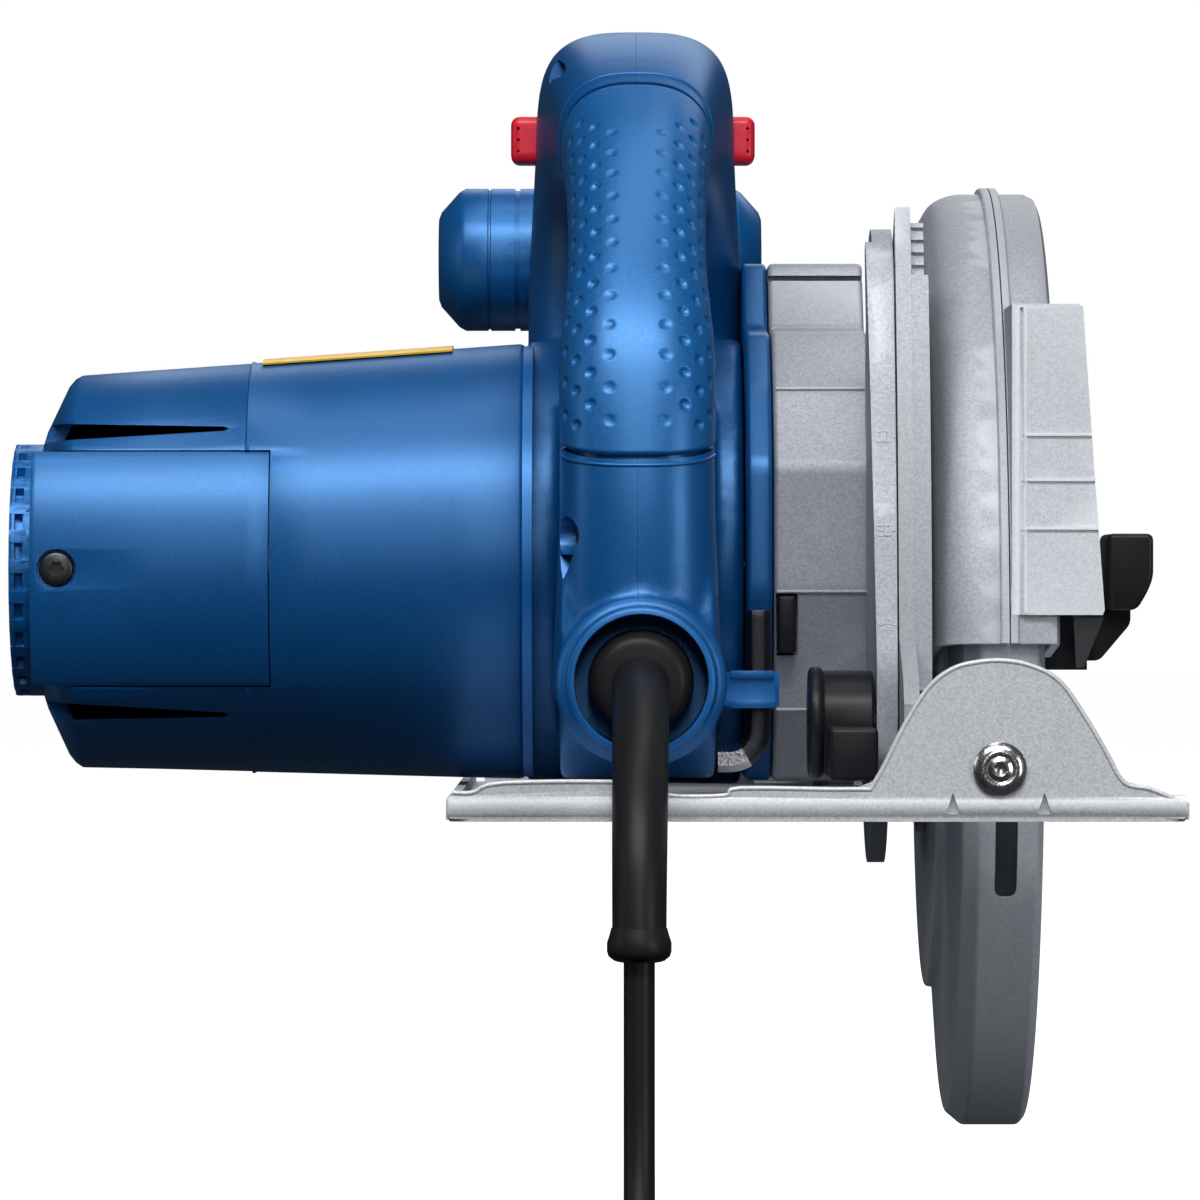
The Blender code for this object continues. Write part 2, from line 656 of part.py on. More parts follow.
def make_upper_guard():
    skin = [
        (71.0, 20), (71.0, 102), (74.2, 107.6), (79, GUARD_OUTER), (84.9, GUARD_OUTER), (84.9, 111),
        (86.8, 111), (86.8, GUARD_INNER), (79, GUARD_INNER), (75.4, 105), (72.8, 100.6), (72.8, 20),
    ]  # fmt: skip
    guard = piece("upper_guard", turned_part(skin, BLADE_AXIS, GUARD_FIRST, GUARD_LAST, 20), "cast_aluminium")
    hub = [
        (60.3, 16.2), (60.3, 41), (64, 41), (64, 21.5), (71.4, 21.5), (71.4, 34), (72.7, 34), (72.7, 15.5),
        (79, 15.5), (79, 9), (71.2, 9), (71.2, 16.2),
    ]  # fmt: skip
    fuse(guard, turned(hub, BLADE_AXIS, sides=32))
    rim = [
        (87.1, GUARD_INNER), (87.1, 111), (88.9, 111), (88.9, GUARD_OUTER), (95, GUARD_OUTER), (97.0, 108.6),
        (97.7, 107), (97.7, 70), (95.9, 70), (95.9, GUARD_INNER),
    ]  # fmt: skip
    cover = piece("guard_cover", turned_part(rim, BLADE_AXIS, GUARD_FIRST, GUARD_LAST, 20), "cast_aluminium")
    side = [(95.95, 36), (95.95, 71), (97.65, 71), (97.65, 36)]
    fuse(cover, turned_part(side, BLADE_AXIS, GUARD_FIRST + 0.3, 58, 9))
    side = [(96.0, 36.5), (96.0, 48), (97.6, 48), (97.6, 36.5)]
    fuse(cover, turned_part(side, BLADE_AXIS, 50, 150, 9))
    hood = prism([(87.3, 109), (102.4, 109), (104.7, 75), (107, 43), (87.3, 43)], -110, -70, axis="Y")
    fuse(cover, hood)
    cut(cover, rod(60, 95.9, 102.0, BLADE_AXIS, sides=40))
    cut(cover, prism([(98.5, 104), (101.0, 104), (105.2, 40), (98.5, 40)], -106, -74, axis="Y"))
    cut(cover, box((94, -98, 52), (100, -80, 92)))


def make_lower_guard():
    channel = [
        (73.1, 28), (73.1, 68.8), (75.5, 69.2), (77.6, 97), (81.2, LOWER_GUARD_RADIUS),
        (93.6, LOWER_GUARD_RADIUS), (95, 98.4), (95, 28), (93.3, 28), (93.3, 98), (81.6, 98), (79.2, 94.8),
        (77.3, 67.6), (75, 67.0), (75, 28),
    ]  # fmt: skip
    guard = piece(
        "lower_guard", turned_part(channel, BLADE_AXIS, -188, -12, 20), "cast_aluminium", "lower_guard"
    )
    fuse(guard, turned([(73.1, 16), (73.1, 33), (74.9, 33), (74.9, 16)], BLADE_AXIS, sides=28))
    cut(guard, box((84.6, -110, -17.5), (89.4, -80, 12)))
    outline = [(109, 60.5), (119, 60.5), (119, 49), (115.4, 44), (109, 44)]
    lever = piece("retract_lever", prism(outline, -86, -60, axis="Y"), "black_plastic", "lower_guard")
    soften(lever, 1.0)
    tail = [(115.4, 46), (115.4, 41), (108.6, 33), (103.8, 33), (103.8, 38), (109.6, 46)]
    fuse(lever, prism(tail, -65.5, -52.5, axis="Y"))
    fuse(lever, box((95.3, -64.5, 31.0), (106.0, -53.5, 37.0)))


def make_guard_spring():
    turns = 2.0
    points = []
    count = int(turns * 12)
    for step in range(count + 1):
        angle = 2 * math.pi * turns * step / count
        along = 76.1 + 2.2 * step / count
        points.append((along, BLADE_AXIS[0] + 17.4 * math.cos(angle), BLADE_AXIS[1] + 17.4 * math.sin(angle)))
    wire("guard_spring", points, 0.38, "bright_steel", 1)


def wire(name, points, radius, look, resolution):
    curve = bpy.data.curves.new(name, "CURVE")
    curve.dimensions = "3D"
    curve.bevel_depth = radius * MM
    curve.bevel_resolution = resolution
    curve.use_fill_caps = True
    spline = curve.splines.new("POLY")
    spline.points.add(len(points) - 1)
    for target, point in zip(spline.points, points):
        target.co = (point[0] * MM, point[1] * MM, point[2] * MM, 1)
    curve.materials.append(finish(look))
    item = bpy.data.objects.new(name, curve)
    item.parent = body_empty("saw")
    bpy.context.collection.objects.link(item)


# ---------------------------------------------------------------- blade drive


def make_blade_drive():
    line = math.degrees(math.atan2(MOTOR_AXIS[1] - BLADE_AXIS[1], MOTOR_AXIS[0] - BLADE_AXIS[0]))
    gear = piece(
        "drive_gear",
        prism(gear_outline(GEAR_TEETH, BLADE_AXIS, line + 180 / GEAR_TEETH), 48, 57),
        "bright_steel",
        "spindle",
    )
    cut(gear, rod(40, 60, 8.3, BLADE_AXIS, sides=20))
    shaft = [(41, 0), (41, 3.9), (47.4, 3.9), (47.4, 8), (59, 8)]
    shaft = shaft + [(59, 7.5), (87.4, 7.5), (87.4, 4.2), (72, 4.2)]
    piece("spindle", turned(shaft + [(72, 0)], BLADE_AXIS, sides=20), "bright_steel", "spindle")
    flanges = (("inner_flange", 79.6, BLADE_LEFT - GAP), ("outer_flange", BLADE_RIGHT + GAP, 87.7))
    for name, low, high in flanges:
        ring = [(low, 7.8), (low, 17.4), (low + 0.6, 18), (high, 18), (high, 7.8)]
        piece(name, turned(ring, BLADE_AXIS, sides=24), "dark_steel", "spindle")
    teeth = 24
    outline = []
    for tooth in range(teeth):
        for part, radius in ((0.0, BLADE_RADIUS), (0.6, 88.4), (0.84, 83.5)):
            angle = -2 * math.pi * (tooth + part) / teeth
            outline.append((radius * math.cos(angle), BLADE_AXIS[1] + radius * math.sin(angle)))
    blade = piece("saw_blade", prism(outline, BLADE_LEFT, BLADE_RIGHT), "bright_steel", "spindle")
    cut(blade, rod(80, 90, 7.9, BLADE_AXIS, sides=20))
    bolt = piece("blade_bolt", rod(74, 92.6, 3.9, BLADE_AXIS, sides=16), "dark_steel", "spindle")
    fuse(bolt, prism(arc(BLADE_AXIS, 7.5, 0, 300, 5), 89.2, 92.9), rod(88.0, 90.0, 9.5, BLADE_AXIS))


# ---------------------------------------------------------------- depth and bevel setting


def make_depth_clamp():
    bolt = piece("depth_clamp_bolt", rod(46, 69.0, 3.0, DEPTH_BOLT, sides=14), "dark_steel")
    y, z = DEPTH_BOLT
    fuse(bolt, box((67.3, y - 4.2, z - 4.2), (69.9, y + 4.2, z + 4.2)))
    hub = [(44.3, 3.3), (44.3, 11.2), (45.2, 12), (47.0, 12), (47.6, 11.2), (58.2, 11.2), (58.2, 3.3)]
    lever = piece("depth_clamp_lever", turned(hub, DEPTH_BOLT, sides=24), "black_plastic", "depth_clamp")
    arm = box((48.0, y - 34, z - 11.6), (58.2, y - 4.4, z - 0.6))
    fuse(lever, arm)


def make_bevel_frame():
    first, last = 180.0 - 28.0, 180.0 + 2.6
    arm = piece(
        "depth_guide_arm",
        prism(band(DEPTH_PIVOT, 214, 236, first, last, 10), 63.4, 66.7),
        "sheet_steel",
        "bevel_frame",
    )
    fuse(arm, prism(band(DEPTH_PIVOT, 231.2, 235.8, 180 - 24, 180 + 2.4, 8), 65, 70.4))
    foot = [(-136.6, 9.4), (-136.6, 24), (-130, 30), (-104, 40), (-104, 9.4)]
    fuse(arm, prism(foot, 63.5, 66.8))
    x, z = BEVEL_AXIS
    ear = [(63.45, 9.3), (74, 8.6)] + arc(BEVEL_AXIS, 8.4, 200, 420, 12) + [(74, 24.5), (63.45, 24.5)]
    fuse(arm, prism(ear, -137.4, -134.6, axis="Y"))
    cut(arm, prism(band(DEPTH_PIVOT, 221.5, 228.5, 180 - 26.9, 180 + 1.3, 10), 60, 67.0))
    cut(arm, box((66.95, -112, 12), (72, -94.6, 27)), rod(-150, -120, 4.4, (x, z), "Y"))

    y, z = DEPTH_PIVOT
    plate = [(36.9, 10), (36.9, 30), (52, 39), (68, 39), (82, 21)]
    plate = plate + [(91.5, 16), (91.5, 8), (84, 2.9), (76, 5), (60, 8)]
    bracket = piece("front_pivot_bracket", prism(plate, 135.3, 138.2, axis="Y"), "sheet_steel", "bevel_frame")
    ear = arc(DEPTH_PIVOT, 10, 90, 270, 8) + [(y + 11, z - 10), (y + 11, z + 10)]
    fuse(bracket, prism(ear, 37.2, 40.8), prism(ear, 57.2, 60.8))
    cut(bracket, rod(30, 70, 4.3, DEPTH_PIVOT), rod(120, 150, 4.3, BEVEL_AXIS, "Y"))
    cut(bracket, rod(120, 150, 3.3, bevel_bolt_place(), "Y", 14))
    pin = [(34.6, 0), (34.6, 6.2), (36.6, 6.2), (36.6, 4), (61.2, 4), (61.2, 6.2), (63.0, 6.2), (63.0, 0)]
    piece("front_pivot_pin", turned(pin, DEPTH_PIVOT, sides=20), "bright_steel", "bevel_frame")

    knob = [(133, 0), (133, 3.0), (141.6, 3.0), (141.6, 8), (144, 8), (146, 6), (154, 5), (154, 0)]
    screw = piece(
        "bevel_wing_screw", turned(knob, bevel_bolt_place(), "Y", 16), "dark_steel", "bevel_wing_screw"
    )
    x, z = bevel_bolt_place()
    fuse(screw, box((x - 15, 147, z - 2), (x + 15, 153, z + 2)))


def bevel_bolt_place():
    angle = math.radians(135)
    return (
        BEVEL_AXIS[0] + BEVEL_BOLT_RADIUS * math.cos(angle),
        BEVEL_AXIS[1] + BEVEL_BOLT_RADIUS * math.sin(angle),
    )


# ---------------------------------------------------------------- base

REAR_WALL = [
    (-31.4, 0.6), (-32.1, 2.2), (-32.0, 5.0), (-30.6, 6.4), (-26.6, 6.4), (-20, 8.4), (8, 8.4), (14.6, 5.8),
    (26, 5.8), (29.4, 7.3), (53.5, 7.1), (57.2, 8.5), (63.3, 20.2), (68.3, 28.1), (73.1, 32), (78.1, 33.5),
    (84.1, 33.9), (90.1, 32.7), (95.8, 29.5), (101.2, 21.9), (105.5, 14.6), (109.1, 8.5), (114.7, 7.1),
    (120.7, 4.6), (122.8, 3.4), (122.4, 1.2), (121.6, 0.6),
]  # fmt: skip
FRONT_BRACKET = [
    (46, 1.0), (48, 18), (53, 36), (62, 45), (74, 48.6), (88, 48), (98, 41), (106, 24), (112, 8), (116, 1.0),
]  # fmt: skip


def make_base():
    low = (BASE_LEFT + 0.6, BASE_REAR + 0.5, 0)
    high = (BASE_RIGHT - 0.6, BASE_FRONT - 0.5, BASE_THICKNESS)
    plate = piece("base_plate", box(low, high), "sheet_steel", "base")
    fuse(plate, prism(REAR_WALL, BASE_REAR, BASE_REAR + 2.1, axis="Y"))
    fuse(plate, box((BASE_LEFT, BASE_REAR + 1, 0.4), (BASE_LEFT + 2, BASE_FRONT - 0.3, 4.6)))
    fuse(plate, box((BASE_RIGHT - 2, BASE_REAR + 1, 0.4), (BASE_RIGHT, BASE_FRONT - 0.3, 3.9)))
    fuse(plate, box((BASE_LEFT + 0.8, BASE_FRONT - 2, 0.5), (BASE_RIGHT - 0.8, BASE_FRONT, 6.2)))
    fuse(plate, prism(FRONT_BRACKET, 138.6, 140.7, axis="Y"))
    fuse(plate, box((7, 116, 1), (37, 137, 9.6)))
    cut(plate, box((57, -104, -5), (98, 104, 7)), box((51, -38, -5), (60, 38, 7)))
    cut(plate, box((3, 120.4, 2.6), (41, 132.8, 7.5)))
    cut(plate, prism(band(BEVEL_AXIS, 24.7, 31.9, 82, 143, 8), 130, 144, axis="Y"))
    cut(plate, rod(-145, -130, 4.4, BEVEL_AXIS, "Y"), rod(130, 150, 4.4, BEVEL_AXIS, "Y"))
    cut(plate, rod(7.2, 12, 2.9, (22, 128), "Z", 14))
    head = [(-141.9, 0), (-141.9, 2.6), (-141.4, 4.6), (-140.3, 5.6), (-140.3, 4), (-134.2, 4), (-134.2, 5.4)]
    body = turned(head + [(-132.8, 5.4), (-132.8, 0)], BEVEL_AXIS, "Y", 20)
    piece("rear_pivot_rivet", body, "bright_steel", "base")
    head = [(134.8, 0), (134.8, 5.4), (135.0, 5.4), (135.0, 4)]
    head = head + [(141.0, 4), (141.0, 5.6), (142.6, 4), (142.6, 0)]
    piece("front_pivot_rivet", turned(head, BEVEL_AXIS, "Y", 20), "bright_steel", "base")
    knob = [(7.6, 0), (7.6, 2.5), (10.2, 2.5), (10.2, 7.5), (13, 8.2), (19, 8.2), (20.6, 7), (20.6, 0)]
    screw = piece("fence_screw", turned(knob, (22.0, 128.0), "Z", 20), "black_plastic", "fence_screw")
    fuse(screw, box((11, 126.4, 18), (33, 129.6, 26)))


# ---------------------------------------------------------------- hex key


def make_hex_key():
    route = smooth([(34.3, 44), (34.3, 20), (32.9, 14.2), (29.8, 12.0), (25.6, 11.8)], 3)
    rings = []
    for k, (x, z) in enumerate(route):
        before = route[max(k - 1, 0)]
        after = route[min(k + 1, len(route) - 1)]
        run = math.hypot(after[0] - before[0], after[1] - before[1])
        side = (-(after[1] - before[1]) / run, (after[0] - before[0]) / run)
        ring = []
        for corner in range(6):
            angle = math.radians(60 * corner)
            out = 2.9 * math.cos(angle)
            ring.append((x + side[0] * out, -68.5 + 2.9 * math.sin(angle), z + side[1] * out))
        rings.append(ring)
    piece("hex_key", loft(rings), "dark_steel", "hex_key")


# ---------------------------------------------------------------- cord

SLEEVE_ROUTE = [(8.6, -121.0, 28.4), (8.5, -138, 23), (8.3, -158, 9.5), (8.1, -170, -7), (8.0, -175, -27.0)]
CORD_ROUTE = [
    (8.0, -175.1, -27.6), (8.0, -175.4, -44), (8.0, -175.9, -60), (8.0, -178.4, -73), (8.0, -184.4, -85.5),
    (8.0, -193.6, -95), (8.0, -204.0, -99.2), (8.0, -219.0, -99.8),
]  # fmt: skip
COIL_CENTRE = (-36.8, -245.0)
PLUG_RIGHT = COIL_CENTRE[0] - 38.6


def make_cord():
    ball = [(-118.8, 0), (-118.8, 9.2), (-117, 10.4), (-112, 11.2), (-107, 10.2), (-103, 7), (-101, 0)]
    piece("cord_gland_ball", turned(ball, CORD_EXIT, "Y", 20), "black_rubber")
    route = smooth(SLEEVE_ROUTE, 2)
    rings = []
    for k, centre in enumerate(route):
        before = Vector(route[max(k - 1, 0)])
        after = Vector(route[min(k + 1, len(route) - 1)])
        way = (after - before).normalized()
        up = Vector((1, 0, 0)).cross(way).normalized()
        radius = 6.1 - 0.6 * k / (len(route) - 1)
        ring = []
        for corner in range(12):
            angle = 2 * math.pi * corner / 12
            ring.append(Vector(centre) + radius * (Vector((math.cos(angle), 0, 0)) + up * math.sin(angle)))
        rings.append(ring)
    sleeve = piece("cord_sleeve", loft(rings), "black_rubber")
    x, y, _ = SLEEVE_ROUTE[-1]
    fuse(sleeve, rod(-26.9, -20.5, 6.6, (x, y - 0.2), "Z", 20))
    wire("power_cord", smooth(CORD_ROUTE, 3), CORD_RADIUS, "black_rubber", 2)
    ring = [(BENCH_Z, 26), (BENCH_Z, 44), (BENCH_Z + 4, 48), (BENCH_Z + 11, 47), (BENCH_Z + 23, 38)]
    ring += [(BENCH_Z + 23, 32), (BENCH_Z + 11, 23), (BENCH_Z + 5, 22)]
    piece("cord_coil", turned(ring, COIL_CENTRE, "Z", 28), "black_rubber")
    middle = (COIL_CENTRE[1] - 35, BENCH_Z + 12.5)
    shell = [(0, 0), (0, 4.6), (-18.4, 6.4), (-20.4, 11.8), (-48.4, 12.3), (-50.4, 11), (-50.4, 0)]
    shell = [(PLUG_RIGHT + x, radius) for x, radius in shell]
    plug = piece("mains_plug", turned(shell, middle, "X", 20), "black_plastic")
    for way in (-1, 1):
        fuse(plug, rod(PLUG_RIGHT - 66, PLUG_RIGHT - 48, 2.3, (middle[0] + way * 9.2, middle[1]), "X", 10))


def main():
    clear_scene()
    make_motor_housing()
    make_end_cap()
    make_brush_cover()
    make_label()
    make_motor()
    make_handle()
    make_gear_case()
    make_upper_guard()
    make_lower_guard()
    make_guard_spring()
    make_blade_drive()
    make_depth_clamp()
    make_bevel_frame()
    make_base()
    make_hex_key()
    make_cord()


main()
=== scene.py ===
"""Looks of the corded circular saw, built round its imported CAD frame.

Frame: X points from the motor to the blade, Y is the cutting direction, Z is up.
Numbers are millimetres; MM turns them into metres when a mesh is made.
"""

import json
import math

import bmesh
import bpy
import numpy as np
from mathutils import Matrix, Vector


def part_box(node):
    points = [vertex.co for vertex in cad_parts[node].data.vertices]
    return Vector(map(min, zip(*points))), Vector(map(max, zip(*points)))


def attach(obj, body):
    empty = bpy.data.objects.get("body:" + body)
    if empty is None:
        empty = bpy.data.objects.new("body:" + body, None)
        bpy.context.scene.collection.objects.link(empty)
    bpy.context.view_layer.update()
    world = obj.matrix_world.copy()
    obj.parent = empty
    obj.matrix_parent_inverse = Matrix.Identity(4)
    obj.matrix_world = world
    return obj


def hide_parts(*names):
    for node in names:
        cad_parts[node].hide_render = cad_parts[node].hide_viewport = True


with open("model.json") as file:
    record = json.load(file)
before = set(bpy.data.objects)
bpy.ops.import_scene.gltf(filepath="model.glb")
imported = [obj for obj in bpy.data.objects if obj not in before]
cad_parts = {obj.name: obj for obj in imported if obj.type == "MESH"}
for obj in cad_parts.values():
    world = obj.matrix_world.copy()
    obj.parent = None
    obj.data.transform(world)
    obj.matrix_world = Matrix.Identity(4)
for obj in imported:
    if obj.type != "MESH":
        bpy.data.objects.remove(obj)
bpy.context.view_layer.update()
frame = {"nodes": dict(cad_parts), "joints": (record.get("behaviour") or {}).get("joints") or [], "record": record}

MM = 0.001
GAP = 0.3


def joint_place(name):
    """The point, in millimetres, that a joint turns about."""
    joint = next(item for item in frame["joints"] if item["name"] == name)
    return [round(value / MM, 3) for value in joint["pos_m"]]


def node_box(name):
    low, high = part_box(name)
    return low / MM, high / MM


# Driving places, from the frame
BLADE_AXIS = tuple(joint_place("spindle_spin")[1:])
MOTOR_AXIS = tuple(joint_place("armature_spin")[1:])
DEPTH_PIVOT = tuple(joint_place("depth_swing")[1:])
DEPTH_BOLT = tuple(joint_place("depth_clamp_turn")[1:])
BEVEL_X, _, BEVEL_Z = joint_place("bevel_tilt")
BEVEL_BOLT = tuple(joint_place("bevel_screw_turn")[::2])
BENCH_Z = node_box("cord_coil")[0].z
GRIP_CENTRE_X = joint_place("trigger_pull")[0]
CORD_EXIT = (8.7, 28.9)
CORD_RADIUS = 3.2


# ---------------------------------------------------------------- camera

CAMERA_BACK = 1800.0
CAMERA_HEIGHT = 46.2
LENS = 239.2


def make_camera():
    data = bpy.data.cameras.new("camera")
    data.lens = LENS
    data.sensor_width = 36
    data.clip_end = 50
    camera = bpy.data.objects.new("camera", data)
    camera.location = (0, -CAMERA_BACK * MM, CAMERA_HEIGHT * MM)
    camera.rotation_euler = (math.radians(90), 0, 0)
    bpy.context.scene.collection.objects.link(camera)
    bpy.context.scene.camera = camera
    bpy.context.scene.view_settings.view_transform = "Standard"


# ---------------------------------------------------------------- shapes


def polar(centre, radius, angle):
    """A point on a circle, at an angle in radians."""
    return (centre[0] + radius * math.cos(angle), centre[1] + radius * math.sin(angle))


def axis_point(axis, centre, along, u, v):
    """A point at a distance along an axis; centre, u and v are on the other two, in order."""
    if axis == "X":
        return (along, centre[0] + u, centre[1] + v)
    if axis == "Y":
        return (centre[0] + u, along, centre[1] + v)
    return (centre[0] + u, centre[1] + v, along)


def solid(points, faces):
    shape = bmesh.new()
    verts = [shape.verts.new(point) for point in points]
    for face in faces:
        shape.faces.new([verts[index] for index in face])
    bmesh.ops.recalc_face_normals(shape, faces=shape.faces)
    return shape


def box(low, high):
    points = [(x, y, z) for x in (low[0], high[0]) for y in (low[1], high[1]) for z in (low[2], high[2])]
    faces = [(0, 1, 3, 2), (4, 6, 7, 5), (0, 4, 5, 1), (2, 3, 7, 6), (0, 2, 6, 4), (1, 5, 7, 3)]
    return solid(points, faces)


def prism(outline, low, high, axis="X"):
    """A flat outline drawn out along an axis, from low to high."""
    count = len(outline)
    points = [axis_point(axis, (0, 0), low, u, v) for u, v in outline]
    points += [axis_point(axis, (0, 0), high, u, v) for u, v in outline]
    faces = [tuple(range(count)), tuple(range(count, 2 * count))]
    for k in range(count):
        after = (k + 1) % count
        faces.append((k, after, count + after, count + k))
    return solid(points, faces)


def turned(profile, centre, axis="X", sides=96):
    """A profile of (along, radius) pairs turned about an axis; off the axis it closes on itself."""
    points = []
    rows = []
    for along, radius in profile:
        count = 1 if radius == 0 else sides
        rows.append(list(range(len(points), len(points) + count)))
        for k in range(count):
            angle = 2 * math.pi * k / sides
            u = radius * math.cos(angle)
            v = radius * math.sin(angle)
            points.append(axis_point(axis, centre, along, u, v))
    pairs = list(zip(rows, rows[1:]))
    if all(radius > 0 for _, radius in profile):
        pairs.append((rows[-1], rows[0]))
    faces = []
    for first, second in pairs:
        for k in range(sides):
            after = (k + 1) % sides
            corners = [first[k % len(first)], first[after % len(first)]]
            corners += [second[after % len(second)], second[k % len(second)]]
            kept = list(dict.fromkeys(corners))
            if len(kept) > 2:
                faces.append(kept)
    return solid(points, faces)


def rod(low, high, radius, centre, axis="X", sides=48):
    return turned([(low, 0), (low, radius), (high, radius), (high, 0)], centre, axis, sides)


def loft(rings):
    """A closed skin through rings with the same number of points."""
    count = len(rings[0])
    points = [point for ring in rings for point in ring]
    last = len(points) - count
    faces = [tuple(range(count)), tuple(range(last, last + count))]
    for row in range(len(rings) - 1):
        for k in range(count):
            after = (k + 1) % count
            low = row * count
            faces.append((low + k, low + after, low + count + after, low + count + k))
    return solid(points, faces)


def turned_part(profile, centre, first, last, steps):
    """A closed (x, radius) profile turned about X from one angle to another, in degrees."""
    rings = []
    for step in range(steps + 1):
        angle = math.radians(first + (last - first) * step / steps)
        across = math.cos(angle)
        up = math.sin(angle)
        rings.append([axis_point("X", centre, x, radius * across, radius * up) for x, radius in profile])
    return loft(rings)


def thick_patch(outer, inner):
    """The solid between two grids of points."""
    rows = len(outer)
    columns = len(outer[0])
    points = [point for grid in (outer, inner) for row in grid for point in row]
    under = rows * columns
    faces = []
    for i in range(rows - 1):
        for j in range(columns - 1):
            here = i * columns + j
            corners = (here, here + 1, here + columns + 1, here + columns)
            faces.append(corners)
            faces.append(tuple(under + corner for corner in corners))
    edge = [(i, 0) for i in range(rows)]
    edge += [(rows - 1, j) for j in range(1, columns)]
    edge += [(i, columns - 1) for i in range(rows - 2, -1, -1)]
    edge += [(0, j) for j in range(columns - 2, 0, -1)]
    ring = [i * columns + j for i, j in edge]
    for k, corner in enumerate(ring):
        after = ring[(k + 1) % len(ring)]
        faces.append((corner, after, under + after, under + corner))
    return solid(points, faces)


def arc(centre, radius, first, last, steps):
    """Points on a circle from one angle to another, in degrees."""
    points = []
    for step in range(steps + 1):
        angle = math.radians(first + (last - first) * step / steps)
        points.append(polar(centre, radius, angle))
    return points


def band(centre, inner, outer, first, last, steps):
    """The outline of a curved strip between two radii."""
    return arc(centre, outer, first, last, steps) + arc(centre, inner, last, first, steps)


def rounded(outline, radius, steps=5):
    """The closed outline with each corner turned into a curve that starts a radius away from it."""
    result = []
    count = len(outline)
    for k in range(count):
        corner = Vector(outline[k])
        before = Vector(outline[k - 1]) - corner
        after = Vector(outline[(k + 1) % count]) - corner
        reach = min(radius, before.length * 0.45, after.length * 0.45)
        start = corner + before.normalized() * reach
        end = corner + after.normalized() * reach
        for step in range(steps + 1):
            t = step / steps
            point = start * (1 - t) ** 2 + corner * 2 * t * (1 - t) + end * t**2
            result.append((point.x, point.y))
    return result


def smooth(points, steps):
    """A Catmull-Rom curve through points of any number of values."""
    ends = [points[0]] + list(points) + [points[-1]]
    result = []
    for k in range(1, len(ends) - 2):
        for step in range(steps):
            result.append(curve_point(ends[k - 1 : k + 3], step / steps))
    result.append(tuple(points[-1]))
    return result


def curve_point(four, t):
    blend = []
    for a, b, c, d in zip(*four):
        value = 2 * b + (c - a) * t + (2 * a - 5 * b + 4 * c - d) * t**2 + (3 * b - a - 3 * c + d) * t**3
        blend.append(value / 2)
    return tuple(blend)


def tube_rings(route, radii, sides):
    """Rings of a round tube along a route, whose radius may change."""
    rings = []
    across = Vector((1, 0, 0))
    for k, centre in enumerate(route):
        before = Vector(route[max(k - 1, 0)])
        after = Vector(route[min(k + 1, len(route) - 1)])
        way = (after - before).normalized()
        across = (across - way * across.dot(way)).normalized()
        up = way.cross(across)
        ring = []
        for corner in range(sides):
            angle = 2 * math.pi * corner / sides
            ring.append(Vector(centre) + radii[k] * (across * math.cos(angle) + up * math.sin(angle)))
        rings.append(ring)
    return rings


# ---------------------------------------------------------------- pieces


def placed(name, shape):
    for vert in shape.verts:
        vert.co = vert.co * MM
    mesh = bpy.data.meshes.new(name)
    shape.to_mesh(mesh)
    shape.free()
    item = bpy.data.objects.new(name, mesh)
    bpy.context.scene.collection.objects.link(item)
    return item


def combine(item, tool, operation):
    """Cuts, joins or clips a piece with another placed one, which is taken away."""
    modifier = item.modifiers.new("combine", "BOOLEAN")
    modifier.solver = "EXACT"
    modifier.operation = operation
    modifier.object = tool
    settle(item)
    bpy.data.objects.remove(tool)


def settle(item):
    """Turns the piece's modifiers into its mesh."""
    bpy.context.view_layer.update()
    evaluated = item.evaluated_get(bpy.context.evaluated_depsgraph_get())
    mesh = bpy.data.meshes.new_from_object(evaluated)
    old = item.data
    item.modifiers.clear()
    item.data = mesh
    bpy.data.meshes.remove(old)


def cut(item, *shapes):
    for shape in shapes:
        combine(item, placed("tool", shape), "DIFFERENCE")


def fuse(item, *shapes):
    for shape in shapes:
        combine(item, placed("tool", shape), "UNION")


def keep(item, shape):
    combine(item, placed("tool", shape), "INTERSECT")


def soften(item, width, segments=3, angle=35):
    modifier = item.modifiers.new("soft_edges", "BEVEL")
    modifier.width = width * MM
    modifier.segments = segments
    modifier.limit_method = "ANGLE"
    modifier.angle_limit = math.radians(angle)
    modifier.use_clamp_overlap = True
    modifier.harden_normals = False
    settle(item)


def dress(item, slot, body="saw", nodes=(), angle=40, material=None):
    """Gives a finished shape its material, shading and body, and hides the CAD nodes that it stands for."""
    item.data.materials.clear()
    item.data.materials.append(material or MATERIALS[slot])
    item.data.shade_smooth()
    if angle:
        item.data.set_sharp_from_angle(angle=math.radians(angle))
    if slot in ("cast_aluminium", "sheet_steel"):
        even = item.modifiers.new("even", "WEIGHTED_NORMAL")
        even.keep_sharp = True
        settle(item)
    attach(item, body)
    if nodes:
        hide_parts(*nodes)
    return item


# ---------------------------------------------------------------- materials


